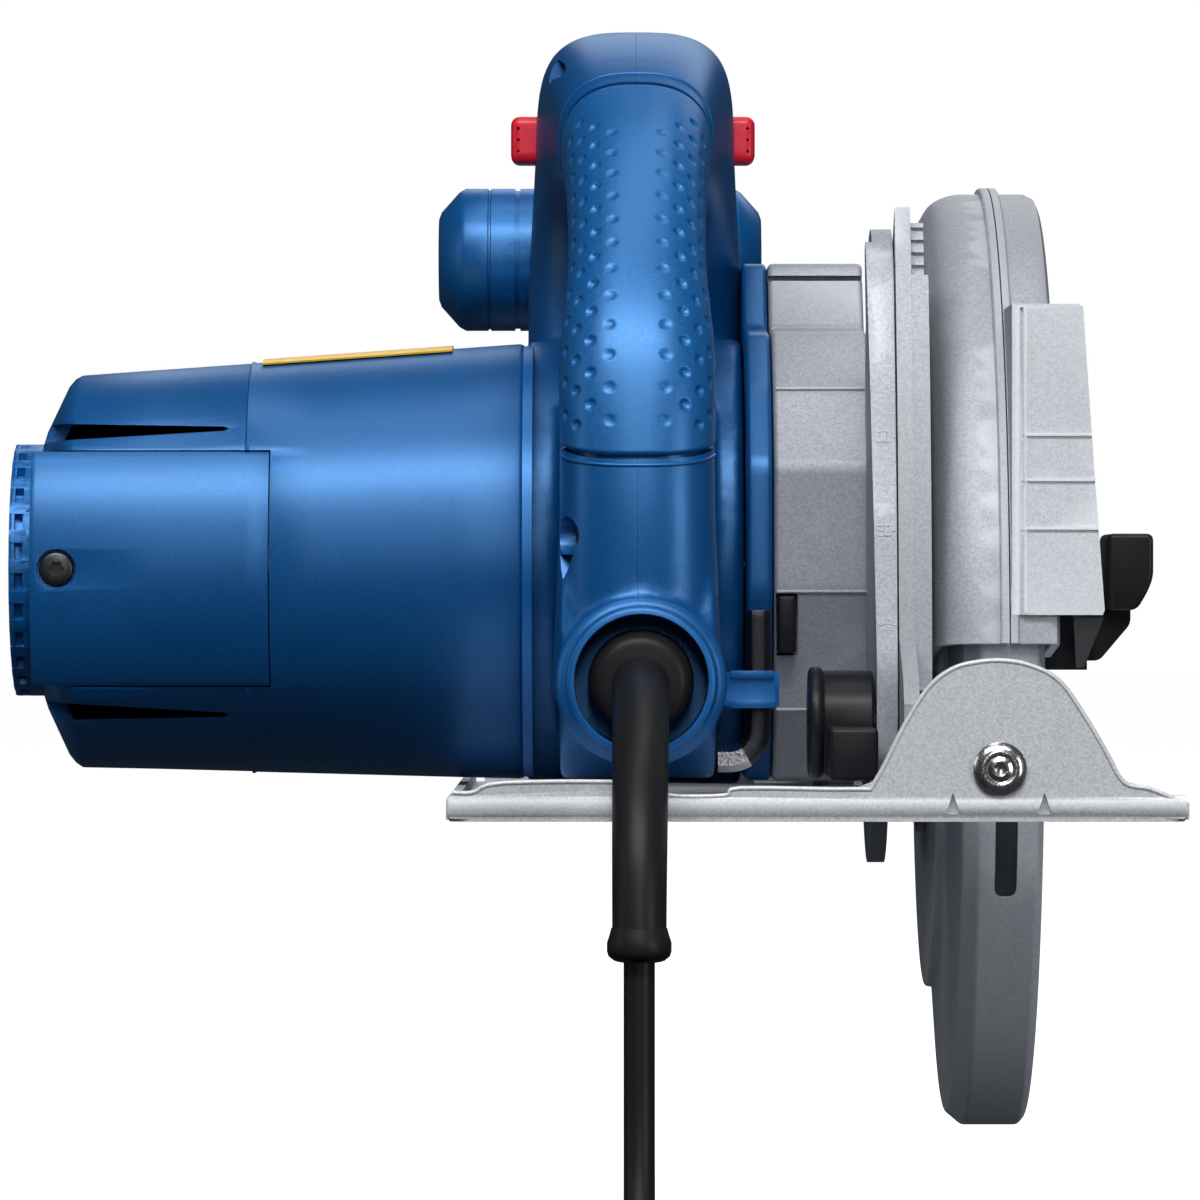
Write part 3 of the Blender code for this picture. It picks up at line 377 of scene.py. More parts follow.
class Graph:
    """A small helper that adds and links the nodes of one material."""

    def __init__(self, name):
        self.material = bpy.data.materials.new(name)
        self.material.use_nodes = True
        self.tree = self.material.node_tree
        self.shader = self.tree.nodes["Principled BSDF"]
        self.place = self.add("ShaderNodeTexCoord").outputs["Object"]

    def add(self, kind, **settings):
        node = self.tree.nodes.new(kind)
        for name, value in settings.items():
            setattr(node, name, value)
        return node

    def link(self, source, target):
        self.tree.links.new(source, target)

    def noise(self, per_metre, detail=2.0, roughness=0.5, stretch=None):
        place = self.place
        if stretch:
            mapping = self.add("ShaderNodeMapping")
            mapping.inputs["Scale"].default_value = stretch
            self.link(place, mapping.inputs["Vector"])
            place = mapping.outputs["Vector"]
        node = self.add("ShaderNodeTexNoise")
        node.inputs["Scale"].default_value = per_metre
        node.inputs["Detail"].default_value = detail
        node.inputs["Roughness"].default_value = roughness
        self.link(place, node.inputs["Vector"])
        return node.outputs["Fac"]

    def cells(self, per_metre):
        node = self.add("ShaderNodeTexVoronoi")
        node.inputs["Scale"].default_value = per_metre
        self.link(self.place, node.inputs["Vector"])
        split = self.add("ShaderNodeSeparateColor")
        self.link(node.outputs["Color"], split.inputs["Color"])
        return split.outputs["Red"]

    def ramp(self, source, low, high, first, last):
        node = self.add("ShaderNodeMapRange")
        node.inputs["From Min"].default_value = low
        node.inputs["From Max"].default_value = high
        node.inputs["To Min"].default_value = first
        node.inputs["To Max"].default_value = last
        self.link(source, node.inputs["Value"])
        return node.outputs["Result"]

    def mix(self, factor, first, second):
        node = self.add("ShaderNodeMix", data_type="RGBA")
        self.link(factor, node.inputs["Factor"])
        for socket, value in ((node.inputs[6], first), (node.inputs[7], second)):
            if isinstance(value, tuple):
                socket.default_value = (*value, 1)
            else:
                self.link(value, socket)
        return node.outputs[2]

    def bump(self, height, strength, distance, after=None):
        node = self.add("ShaderNodeBump")
        node.inputs["Strength"].default_value = strength
        node.inputs["Distance"].default_value = distance
        self.link(height, node.inputs["Height"])
        if after:
            self.link(after, node.inputs["Normal"])
        return node.outputs["Normal"]

    def edges(self, low=0.52, high=0.62):
        """1 along convex edges, where a surface is rubbed bright."""
        geometry = self.add("ShaderNodeNewGeometry")
        return self.ramp(geometry.outputs["Pointiness"], low, high, 0.0, 1.0)


def shade(colour, factor):
    return tuple(min(1.0, channel * factor) for channel in colour)


def moulded(name, colour, roughness, grain=2600, depth=0.35, wear=0.35, tint=None, metallic=0.0):
    """Moulded plastic or rubber: a fine spark-eroded grain, faint mottling and paler rubbed edges."""
    graph = Graph(name)
    fine = graph.noise(grain, 3.0, 0.6)
    broad = graph.noise(45, 3.0, 0.6)
    speckle = graph.mix(graph.ramp(fine, 0.35, 0.7, 0, 1), shade(colour, 0.82), shade(colour, 1.22))
    mottled = graph.mix(graph.ramp(broad, 0.3, 0.7, 0.0, 0.35), speckle, shade(colour, 0.8))
    worn = graph.mix(graph.ramp(graph.edges(), 0, 1, 0, wear), mottled, shade(colour, 2.0))
    graph.link(worn, graph.shader.inputs["Base Color"])
    dull = graph.ramp(fine, 0.3, 0.7, roughness - 0.05, roughness + 0.07)
    graph.link(dull, graph.shader.inputs["Roughness"])
    graph.link(graph.bump(fine, depth, 0.00006), graph.shader.inputs["Normal"])
    graph.shader.inputs["Metallic"].default_value = metallic
    graph.shader.inputs["Specular IOR Level"].default_value = 0.18 if max(colour) < 0.05 else 0.4
    if tint:
        graph.shader.inputs["Specular Tint"].default_value = (*tint, 1)
        graph.shader.inputs["Specular IOR Level"].default_value = 0.95
    return graph.material


def cast(name, colour, roughness, metallic=0.85, sparkle=0.3, grain=1500, depth=0.35, stretch=None):
    """Blasted or tumbled metal: bright and dull grains, a soft unevenness and rubbed edges."""
    graph = Graph(name)
    grains = graph.cells(grain)
    fine = graph.noise(grain * 0.8, 3.0, 0.65, stretch)
    broad = graph.noise(30, 4.0, 0.55)
    dark = shade(colour, 1 - sparkle)
    light = shade(colour, 1 + sparkle)
    spotted = graph.mix(graph.ramp(grains, 0.0, 1.0, 0, 1), dark, light)
    uneven = graph.mix(graph.ramp(broad, 0.35, 0.75, 0.0, 0.3), spotted, shade(colour, 0.72))
    worn = graph.mix(graph.ramp(graph.edges(), 0, 1, 0, 0.5), uneven, shade(colour, 1.5))
    graph.link(worn, graph.shader.inputs["Base Color"])
    graph.shader.inputs["Metallic"].default_value = metallic
    dull = graph.ramp(fine, 0.3, 0.7, roughness - 0.06, roughness + 0.1)
    graph.link(dull, graph.shader.inputs["Roughness"])
    graph.link(graph.bump(fine, depth, 0.00008), graph.shader.inputs["Normal"])
    return graph.material


def printed(name, colour, ink):
    """A printed film with a faint screen dot, and its ink's tone in soft patches."""
    graph = Graph(name)
    dots = graph.cells(5200)
    broad = graph.noise(120, 3.0, 0.6)
    film = graph.mix(graph.ramp(dots, 0, 1, 0, 0.25), colour, shade(colour, 0.85))
    scuffed = graph.mix(graph.ramp(broad, 0.55, 0.75, 0, 0.3), film, ink)
    graph.link(scuffed, graph.shader.inputs["Base Color"])
    graph.link(graph.ramp(broad, 0.3, 0.7, 0.3, 0.45), graph.shader.inputs["Roughness"])
    graph.link(graph.bump(dots, 0.05, 0.00003), graph.shader.inputs["Normal"])
    return graph.material


BLUE_SHEEN = (0.55, 0.84, 1.0)
GRIP_SHEEN = (0.58, 0.84, 1.0)

MATERIALS = {
    "blue_plastic": moulded("blue_plastic", (0.002, 0.088, 0.30), 0.38, tint=BLUE_SHEEN, metallic=0.3),
    "soft_blue": moulded("soft_blue", (0.005, 0.115, 0.36), 0.40, 1800, 0.2, 0.15, GRIP_SHEEN, 0.3),
    "black_plastic": moulded("black_plastic", (0.010, 0.011, 0.013), 0.36),
    "black_rubber": moulded("black_rubber", (0.011, 0.011, 0.012), 0.42, 3200, 0.2, 0.1),
    "red_plastic": moulded("red_plastic", (0.66, 0.008, 0.03), 0.34, wear=0.3),
    "yellow_label": printed("yellow_label", (0.75, 0.45, 0.01), (0.36, 0.21, 0.01)),
    "cast_aluminium": cast("cast_aluminium", (0.37, 0.39, 0.43), 0.56, 0.45, 0.14, 2400, 0.2),
    "sheet_steel": cast("sheet_steel", (0.56, 0.575, 0.61), 0.48, 0.3, 0.16, 2600, 0.12),
    "bright_steel": cast("bright_steel", (0.62, 0.62, 0.62), 0.2, 1.0, 0.06, 3000, 0.08),
    "dark_steel": cast("dark_steel", (0.05, 0.05, 0.055), 0.36, 0.9, 0.15, 2500, 0.15),
    "copper": cast("copper", (0.6, 0.22, 0.09), 0.3, 1.0, 0.15, 900, 0.3, stretch=(1, 8, 8)),
    "carbon": moulded("carbon", (0.02, 0.02, 0.02), 0.6),
    "brass": cast("brass", (0.55, 0.38, 0.12), 0.28, 1.0, 0.08, 2500, 0.1),
}

# Finishes of single pieces, whose slot is still one of those above. The guard's is a paler copy that paints light
# on the lower guard, the panel's is a paler copy that paints a highlight on the chute's rear face, and the arm's
# is a darker copy that paints shade on the depth arm; the blade's is its own steel.
GUARD_PAINTED_LIGHT = cast("guard_painted_light", (0.78, 0.83, 0.92), 0.5, 0.3, 0.1, 2400, 0.15)
CHUTE_PAINTED_HIGHLIGHT = cast("chute_painted_highlight", (0.62, 0.65, 0.70), 0.5, 0.25, 0.12, 2400, 0.15)
ARM_PAINTED_SHADE = cast("arm_painted_shade", (0.34, 0.355, 0.385), 0.56, 0.4, 0.14, 2600, 0.12)
BLADE_FINISH = cast("blade_steel", (0.6, 0.6, 0.62), 0.26, 1.0, 0.05, 2500, 0.1)


def repaint_frame():
    """The CAD nodes that stay in view, or that others hide, get the same procedural finishes."""
    slots = {item["node"]: item["material_slot"] for item in frame["record"]["subparts"]}
    for name, item in frame["nodes"].items():
        item.data.materials.clear()
        item.data.materials.append(MATERIALS[slots[name]])


# ---------------------------------------------------------------- cord

SLEEVE_ROUTE = [(8.6, -121.0, 28.4), (8.5, -138, 23), (8.3, -158, 9.5), (8.1, -170, -7), (8.0, -175, -27.0)]
CORD_ROUTE = [
    (8.0, -175.1, -27.6), (8.0, -175.4, -44), (8.0, -175.9, -60), (8.0, -178.4, -73), (8.0, -184.4, -85.5),
    (8.0, -193.6, -95), (8.0, -204.0, -99.2), (8.0, -219.0, -99.8),
]  # fmt: skip
COIL_CENTRE = (-36.8, -245.0)
TURN_PITCH = 6.5
OUTER_TURN = 44.8
# Radius and height of each turn of the stored cord, from the first laid to the last
COIL_TURNS = [
    (OUTER_TURN, -99.8), (OUTER_TURN - TURN_PITCH, -99.8), (OUTER_TURN - 2 * TURN_PITCH, -99.8),
    (OUTER_TURN - 3 * TURN_PITCH, -99.8), (OUTER_TURN - 2.5 * TURN_PITCH, -94.2),
    (OUTER_TURN - 1.5 * TURN_PITCH, -94.2), (OUTER_TURN - 0.5 * TURN_PITCH, -94.2),
    (OUTER_TURN - TURN_PITCH, -88.6), (OUTER_TURN - 2 * TURN_PITCH, -88.6), (35.0, -83.0),
]  # fmt: skip
TURN_STEPS = 36
PLUG_HEIGHT = BENCH_Z + 12.5
PLUG_Y = COIL_CENTRE[1] - 35.0
PLUG_RIGHT = COIL_CENTRE[0] - 38.6


def coil_point(radius, angle, height):
    return (*polar(COIL_CENTRE, radius, angle), height)


def cord_points():
    """The cord's route from its sleeve: down, round the turns of the coil and into the plug."""
    points = smooth(CORD_ROUTE, 5)
    for number, (radius, height) in enumerate(COIL_TURNS):
        following = COIL_TURNS[min(number + 1, len(COIL_TURNS) - 1)]
        for step in range(TURN_STEPS):
            part = step / TURN_STEPS
            ease = max(0.0, (part - 0.6) / 0.4)
            ease = ease * ease * (3 - 2 * ease)
            reach = radius + (following[0] - radius) * ease
            lift = height + (following[1] - height) * ease
            angle = -2 * math.pi * part
            points.append(coil_point(reach, angle, lift))
    radius, height = COIL_TURNS[-1]
    for step in range(9):
        angle = -math.pi / 2 * step / 9
        points.append(coil_point(radius, angle, height))
    tail = [
        (COIL_CENTRE[0], PLUG_Y, height), (COIL_CENTRE[0] - 12, PLUG_Y, height + 0.9),
        (COIL_CENTRE[0] - 24, PLUG_Y, height - 1.6), (PLUG_RIGHT, PLUG_Y, PLUG_HEIGHT + 0.6),
        (PLUG_RIGHT - 7, PLUG_Y, PLUG_HEIGHT),
    ]  # fmt: skip
    return points + smooth(tail, 4)


def make_cord():
    points = cord_points()
    curve = bpy.data.curves.new("mains_cord", "CURVE")
    curve.dimensions = "3D"
    curve.bevel_depth = CORD_RADIUS * MM
    curve.bevel_resolution = 5
    curve.use_fill_caps = True
    spline = curve.splines.new("POLY")
    spline.points.add(len(points) - 1)
    for target, point in zip(spline.points, points):
        target.co = (point[0] * MM, point[1] * MM, point[2] * MM, 1)
    curve.materials.append(MATERIALS["black_rubber"])
    cord = bpy.data.objects.new("mains_cord", curve)
    bpy.context.scene.collection.objects.link(cord)
    spline.use_smooth = True
    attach(cord, "saw")
    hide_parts("power_cord", "cord_coil")
    sleeve = make_sleeve()
    plug = make_plug()


def make_sleeve():
    """The tapered strain relief, with the flared collar at its free end."""
    route = smooth(SLEEVE_ROUTE, 10)
    radii = []
    for k in range(len(route)):
        part = k / (len(route) - 1)
        radii.append(6.1 - 0.6 * part)
    sleeve = placed("strain_relief", loft(tube_rings(route, radii, 40)))
    x, y, _ = SLEEVE_ROUTE[-1]
    collar = [(-26.9, 3.4), (-26.9, 5.7), (-26.4, 6.3), (-25.4, 6.6)]
    collar += [(-23.6, 6.6), (-22.4, 6.2), (-20.6, 5.7), (-20.6, 3.4)]
    fuse(sleeve, turned(collar, (x, y - 0.2), "Z", 48))
    return dress(sleeve, "black_rubber", nodes=["cord_sleeve"], angle=50)


def make_plug():
    shell = [
        (4.4, 0), (4.4, 4.2), (3.6, 4.7), (-12, 6.0), (-14.6, 7.2), (-16.4, 11.0), (-18, 12.0), (-28, 12.3),
        (-30, 11.8), (-36, 11.8), (-38, 12.3), (-43.5, 12.3), (-45.4, 11.6), (-46, 10.6), (-46, 0),
    ]  # fmt: skip
    shell = [(PLUG_RIGHT - 4.4 + x, radius) for x, radius in shell]
    middle = (PLUG_Y, PLUG_HEIGHT)
    plug = placed("plug_body", turned(shell, middle, "X", 64))
    for groove in range(4):
        at = PLUG_RIGHT - 4.4 - 1.5 - 3.2 * groove
        ring = [(at, 4.1), (at, 9), (at - 1.1, 9), (at - 1.1, 4.1)]
        cut(plug, turned(ring, middle, "X", 48))
    for way in (-1, 1):
        pin = [(-44, 0), (-44, 2.3), (-60.2, 2.3), (-61.2, 1.7), (-61.6, 0)]
        pin = [(PLUG_RIGHT - 4.4 + x, radius) for x, radius in pin]
        fuse(plug, turned(pin, (middle[0] + way * 9.2, middle[1]), "X", 24))
    return dress(plug, "black_plastic", nodes=["mains_plug"], angle=50)


# ---------------------------------------------------------------- motor housing

HOUSING_LEFT = -126.0
HOUSING_CIRCLES = [
    (HOUSING_LEFT, 53.0, 29.4),
    (-124.6, 53.0, 33.0),
    (-119.5, 52.8, 43.0),
    (-117.5, 52.7, 44.6),
    (-79.0, 53.6, 46.4),
    (-17.3, 55.0, 49.5),
    (-17.2, 53.0, 45.6),
    (31.7, 53.0, 45.6),
]
PANEL_LEFT, PANEL_RIGHT = -126.8, -73.4
PANEL_LOW, PANEL_HIGH = 26.8, 79.6


def circle_ring(x, height, radius, sides=128):
    ring = []
    for k in range(sides):
        angle = 2 * math.pi * k / sides
        ring.append((x, *polar((MOTOR_AXIS[0], height), radius, angle)))
    return ring


def housing_circle(x):
    left = HOUSING_CIRCLES[3]
    right = HOUSING_CIRCLES[5]
    part = (x - left[0]) / (right[0] - left[0])
    return left[1] + (right[1] - left[1]) * part, left[2] + (right[2] - left[2]) * part


def make_motor_housing():
    circles = HOUSING_CIRCLES[:1] + [(-125.2, 53.0, 31.9), (-120.4, 52.85, 42.0), (-119.0, 52.8, 43.7)]
    circles += [(-117.5, 52.7, 44.6), (-100, 53.15, 45.41), (-79.1, 53.6, 46.4), (-78.8, 53.6, 46.9)]
    circles += [(x, *housing_circle(x)) for x in (-78.0, -64, -48, -32, -18.2)]
    circles += [(-17.3, 55.0, 49.2), (-17.2, 53.0, 45.6), (31.7, 53.0, 45.6)]
    shell = placed("housing_shell", loft([circle_ring(*circle) for circle in circles]))
    bore = [(-127, 0), (-127, 29.2), (-122, 29.2), (-121.4, 31), (-116, 41.5), (33, 41.5), (33, 0)]
    cut(shell, turned(bore, MOTOR_AXIS, sides=96))
    cut(shell, box((-130, -60, PANEL_LOW), (PANEL_RIGHT, -8, PANEL_HIGH)))
    for height, way in ((83.6, 1), (21.4, -1)):
        slot = [(-128, height - 2.2), (-84, height - 0.5), (-82.8, height)]
        slot += [(-84, height + 0.5), (-128, height + 2.2)]
        slot = [(x, z + way * (x + 128) * 0.02) for x, z in slot]
        cut(shell, prism(slot, -60, 2, axis="Y"))
    soften(shell, 0.45, 2, 30)
    dress(shell, "blue_plastic", nodes=["motor_housing"], angle=32)


def make_brush_cover():
    grids = []
    for lift in (0.0, 2.6):
        grid = []
        stations = (PANEL_LEFT, 44.2), (-125.6, 44.5), (-100, 45.4), (-79.0, 46.4), (PANEL_RIGHT - GAP, 46.6)
        for x, radius in stations:
            row = []
            for step in range(49):
                height = (PANEL_LOW + GAP - 53) + (PANEL_HIGH - PANEL_LOW - 2 * GAP) * step / 48
                row.append((x, MOTOR_AXIS[0] - math.sqrt((radius - lift) ** 2 - height**2), 53 + height))
            grid.append(row)
        grids.append(grid)
    cover = placed("brush_panel", thick_patch(*grids))
    place = (-120.8, 53.1)
    cut(cover, rod(-35, -27.8, 4.4, place, axis="Y"), rod(-30, -20, 2.2, place, axis="Y"))
    soften(cover, 0.3, 2, 50)
    dress(cover, "blue_plastic", nodes=["brush_cover"], angle=30)
    make_torx_screw("brush_panel_screw", place, -29.6, -27.9, 3.8, "Y", ["brush_cover_screw"])


def make_torx_screw(name, centre, face, back, radius, axis, nodes, shank=None, shank_radius=1.9):
    """A pan head with a six-lobed recess; face is where its top lies and back where its shank begins."""
    way = 1 if back > face else -1
    end = shank if shank is not None else back + way * 8
    head = [(face, 0), (face, radius * 0.72), (face + way * 0.35, radius * 0.93), (face + way * 0.9, radius)]
    head += [(back, radius), (back, shank_radius), (end, shank_radius), (end, 0)]
    screw = placed(name, turned(head, centre, axis, 48))
    lobes = []
    for k in range(48):
        angle = 2 * math.pi * k / 48
        reach = radius * (0.40 + 0.07 * math.cos(6 * angle))
        lobes.append(polar(centre, reach, angle))
    cut(screw, prism(lobes, *sorted((face - way, face + way * 1.1)), axis=axis))
    dress(screw, "dark_steel", nodes=nodes, angle=35)


CAP_RIBS = 26
# One rib of the cap's edge and the gap after it: share of the pitch, and radius
CAP_RIB = ((-0.32, 28.6), (-0.1, 28.6), (0.12, 28.6), (0.18, 26.4), (0.4, 26.4), (0.62, 26.4))
CAP_HOLES = 6
CAP_HOLE_CIRCLE = 17.3


def make_end_cap():
    outline = []
    for rib in range(CAP_RIBS):
        for part, radius in CAP_RIB:
            outline.append(polar(MOTOR_AXIS, radius, 2 * math.pi * (rib + part) / CAP_RIBS))
    cap = placed("rear_cap", prism(outline, -132.6, -128.7))
    seat = [(-129.5, 0), (-129.5, 28.6), (-123, 28.6), (-123, 14.5)]
    seat += [(-112.5, 14.5), (-112.5, 11.2), (-127, 11.2)]
    fuse(cap, turned(seat + [(-127, 0)], MOTOR_AXIS))
    cut(cap, turned([(-134, 10), (-134, 24.6), (-131.6, 24.0), (-131.6, 10.6)], MOTOR_AXIS))
    rim = [(-132.6, 24.9), (-132.6, 28.3), (-131.9, 28.6), (-131.4, 28.6), (-131.4, 24.9)]
    fuse(cap, turned(rim, MOTOR_AXIS, sides=128))
    for hole in range(CAP_HOLES):
        middle = polar(MOTOR_AXIS, CAP_HOLE_CIRCLE, 2 * math.pi * hole / CAP_HOLES)
        cut(cap, rod(-140, -118, 2.8, middle, sides=24))
    soften(cap, 0.4, 2, 40)
    dress(cap, "blue_plastic", nodes=["end_cap"], angle=32)


def make_label():
    grids = []
    for lift in (0.75, 0.35):
        grid = []
        for step in range(13):
            x = -76.4 + 43.0 * step / 12
            height, radius = housing_circle(x)
            row = []
            for turn in range(33):
                angle = math.radians(54 + 49 * turn / 32)
                row.append((x, *polar((MOTOR_AXIS[0], height), radius + lift, angle)))
            grid.append(row)
        grids.append(grid)
    label = placed("label_film", thick_patch(*grids))
    dress(label, "yellow_label", nodes=["rating_label"], angle=40)


# ---------------------------------------------------------------- handle

# The closed loop's centreline, from the front column over the top to the cord boss:
# y, z, half width along x, half depth across the loop
HANDLE_LOOP = [
    (41, 88, 24.6, 21), (39, 118, 24.4, 20), (27, 142, 23.0, 20), (3, 154, 21.9, 20), (-26, 152, 18.6, 17),
    (-56, 139, 15.6, 15), (-80, 118, 14.8, 14.6), (-95, 96, 16.6, 15), (-100, 72, 16.4, 15.5),
    (-99, 50, 17.2, 16.5), (-95, 26, 18.4, 17.5),
]  # fmt: skip
GRIP_HALF_ANGLE = 112
GRIP_START = 4.6
GRIP_END = 7.86


def loop_frame(position):
    position = min(max(position, 0), len(HANDLE_LOOP) - 1.001)
    first = int(position)
    ends = [HANDLE_LOOP[0]] + HANDLE_LOOP + [HANDLE_LOOP[-1]]
    four = ends[first : first + 4]
    here = curve_point(four, position - first)
    ahead = curve_point(four, position - first + 0.01)
    run = math.hypot(ahead[0] - here[0], ahead[1] - here[1])
    return here, ((ahead[1] - here[1]) / run, -(ahead[0] - here[0]) / run)


def section_power(position):
    """How round the loop's section is: 1 is an ellipse, less is squarer, as above the grip."""
    return 0.8 - 0.17 * max(0.0, 1 - ((position - 2.9) / 1.7) ** 2)


def loop_point(position, degrees, inset=0.0):
    """A point on the loop's skin; 0 degrees is its outer side and 180 its finger side."""
    here, outward = loop_frame(position)
    angle = math.radians(degrees)
    power = section_power(position)
    across = math.copysign(abs(math.sin(angle)) ** power, math.sin(angle))
    out = math.copysign(abs(math.cos(angle)) ** power, math.cos(angle))
    reach = (here[3] - inset) * out
    side = (here[2] - inset) * across
    return (GRIP_CENTRE_X + side, here[0] + outward[0] * reach, here[1] + outward[1] * reach)


def loop_solid(inset, first, last, sides, per_step):
    rows = int((last - first) * per_step + 0.5)
    rings = []
    for row in range(rows + 1):
        position = first + (last - first) * row / rows
        rings.append([loop_point(position, 360 * (k + 0.5) / sides, inset) for k in range(sides)])
    return loft(rings)


def grip_ends(degrees):
    """Where along the loop the soft grip starts and ends, at an angle round the handle."""
    bend = 1 - math.cos(math.radians(degrees) * 0.8)
    return GRIP_START + 0.06 * bend, GRIP_END - 0.24 * bend


def grip_grid(inset, spread, reach, rows, columns):
    grid = []
    for row in range(rows + 1):
        line = []
        for step in range(columns + 1):
            degrees = -GRIP_HALF_ANGLE - spread + 2 * (GRIP_HALF_ANGLE + spread) * step / columns
            start, end = grip_ends(degrees)
            start -= reach
            end += reach
            line.append(loop_point(start + (end - start) * row / rows, degrees, inset))
        grid.append(line)
    return grid


# Name, y, z and left face of each screw that holds the two handle shells together
HANDLE_SCREWS = (("top", -17.0, 164.4, -3.0), ("middle", -108.3, 60.0, -2.0), ("lower", -78.0, 16.0, -4.0))


def blended_handle():
    """The loop, the motor's collar, the trunk and the cord boss, melted into one moulded shape."""
    body = placed("handle_body", loop_solid(0, 0, 10, 64, 6))
    fuse(body, loft([circle_ring(-16.9, 54.9, 50.0, 96), circle_ring(32.0, 55.0, 50.6, 96)]))
    trunk = [(-18, 8), (-94, 8), (-109, 16), (-113, 30), (-108, 55), (-88, 82), (-60, 88), (-18, 92)]
    fuse(body, prism(rounded(trunk, 12), -8.6, 24.6))
    fuse(body, rod(-117.5, -90, 17.6, CORD_EXIT, "Y", 64))
    remesh = body.modifiers.new("blend", "REMESH")
    remesh.mode = "VOXEL"
    remesh.voxel_size = 1.15 * MM
    settle(body)
    relax = body.modifiers.new("relax", "SMOOTH")
    relax.factor = 0.5
    relax.iterations = 8
    settle(body)
    return body


def make_handle_shells():
    body = blended_handle()
    fuse(body, rod(-17.15, -15.0, 48.6, (0, 54.9), sides=96))
    motor_bore = rod(-30, 40, 46, MOTOR_AXIS, sides=96)
    cord_seat = rod(-130, -97.7, 14.2, CORD_EXIT, "Y", 64)
    cut(body, motor_bore, cord_seat)
    for name, y, z, left in HANDLE_SCREWS:
        wide = 2.6 if name == "top" else 4.0
        hole = [(-40, 0), (-40, wide), (left, wide), (left, 2.2), (19, 2.2), (19, 0)]
        cut(body, turned(hole, (y, z), sides=32))
    notch = prism([(-110.9, 55.8), (-105.7, 55.8), (-108.3, 50.6)], -40, -2.0)
    recess = rod(-60, -14, 2.3, (-9.9, 164.6), "Y", 32)
    button_slot = box((-60, 15.6, 145.0), (60, 28.8, 157.2))
    trigger_slot = box((0.4, -20.4, 118), (15.6, 17.4, 148))
    switch_room = box((-2.4, -25.0, 147.5), (18.4, 12.4, 159.7))
    grip_bed = thick_patch(grip_grid(-4.0, 0.6, 0.034, 60, 28), grip_grid(2.3, 0.6, 0.034, 60, 28))
    cut(body, notch, recess, button_slot, trigger_slot, switch_room, grip_bed)
    for side, low, high in (("left", -60, GRIP_CENTRE_X - 0.04), ("right", GRIP_CENTRE_X + 0.04, 60)):
        half = body.copy()
        half.data = body.data.copy()
        half.name = f"handle_half_{side}"
        bpy.context.scene.collection.objects.link(half)
        keep(half, box((low, -150, -10), (high, 120, 200)))
        dress(half, "blue_plastic", nodes=[f"handle_shell_{side}"], angle=38)
    bpy.data.objects.remove(body)
    for name, y, z, left in HANDLE_SCREWS:
        nodes = [f"handle_screw_{name}"]
        make_torx_screw(f"shell_screw_{name}", (y, z), left - 3, left - GAP, 3.4, "X", nodes, shank=18.5)


def make_grip_rims():
    """The raised bead of hard plastic that frames the soft grip at both ends."""
    for name, shift, end in (("grip_rim_upper", -0.155, 0), ("grip_rim_lower", 0.085, 1)):
        route = []
        for step in range(61):
            degrees = -GRIP_HALF_ANGLE + 2 * GRIP_HALF_ANGLE * step / 60
            route.append(loop_point(grip_ends(degrees)[end] + shift, degrees, 0.12))
        rim = placed(name, loft(tube_rings(route, [0.42] * len(route), 12)))
        dress(rim, "blue_plastic", angle=0)


# Angle round the handle of each column of dimples, and how far up it starts
DIMPLE_COLUMNS = ((16, 7.3), (32, 10.3), (48, 5.6), (65, 7.0), (84, 8.4), (103, 5.6))
DIMPLE_PITCH = 7.2


def dimple_places():
    places = []
    for degrees, first in DIMPLE_COLUMNS:
        for way in (-1, 1):
            start, position = grip_ends(degrees)
            here = loop_point(position, way * degrees, -0.1)
            travelled = 0.0
            wanted = first
            while position > start + (0.22 if degrees > 40 else 0.4):
                position -= 0.01
                ahead = loop_point(position, way * degrees, -0.1)
                travelled += math.dist(here, ahead)
                here = ahead
                if travelled > wanted:
                    places.append((*here, 0.3 if degrees < 20 else 0.7))
                    wanted += DIMPLE_PITCH
    return places


def make_soft_grip():
    rows, columns = ((380, 150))
    outer = np.array(grip_grid(-0.1, 0, 0, rows, columns))
    inner = np.array(grip_grid(2.0, 0, 0, rows, columns))
    flat = outer.reshape(-1, 3)
    depth = np.zeros(len(flat))
    for *place, deep in dimple_places():
        away = np.linalg.norm(flat - np.array(place), axis=1) / 1.3
        depth = np.maximum(depth, deep * np.clip(1 - away**2, 0, 1) ** 0.9)
    depth = depth.reshape(outer.shape[:2])
    for first in (outer[0], outer[-1]):
        gap = np.linalg.norm(outer - first[None], axis=2)
        depth = np.maximum(depth, 0.7 * np.clip(1 - gap / 0.9, 0, 1) ** 2)
    inward = inner - outer
    inward /= np.linalg.norm(inward, axis=2)[..., None]
    outer = outer + inward * depth[..., None]
    grip = placed("soft_grip_skin", thick_patch(outer.tolist(), inner.tolist()))
    dress(grip, "soft_blue", nodes=["soft_grip"], angle=60)


def make_controls():
    finger = [(16.5, 145.5), (-19, 145.0), (-19, 139), (-16, 129)]
    finger += [(-9, 125.4), (-1, 126.2), (7, 131), (12, 137)]
    trigger = placed("switch_trigger", prism(rounded(finger + [(16.5, 141)], 3.0), 1.2, 14.8))
    for k in range(4):
        cut(trigger, rod(1.0, 15.0, 0.7, (-12.5 + 3.2 * k, 125.0 + 0.55 * k), sides=16))
    soften(trigger, 1.0, 4, 50)
    dress(trigger, "black_plastic", "trigger", ["trigger"])
    bar = placed("lock_off_bar", box((-20.3, 16.2, 145.6), (35.3, 27.8, 156.4)))
    soften(bar, 2.0, 5)
    for x in (-18.6, 33.6):
        for k in (-1, 0, 1):
            cut(bar, rod(14, 30, 0.35, (x, 151 + 2.6 * k), "Y", 12))
    dress(bar, "red_plastic", "lock_off_button", ["lock_off_button"])


FRONT_HANDLE = (85.0, 126.6)


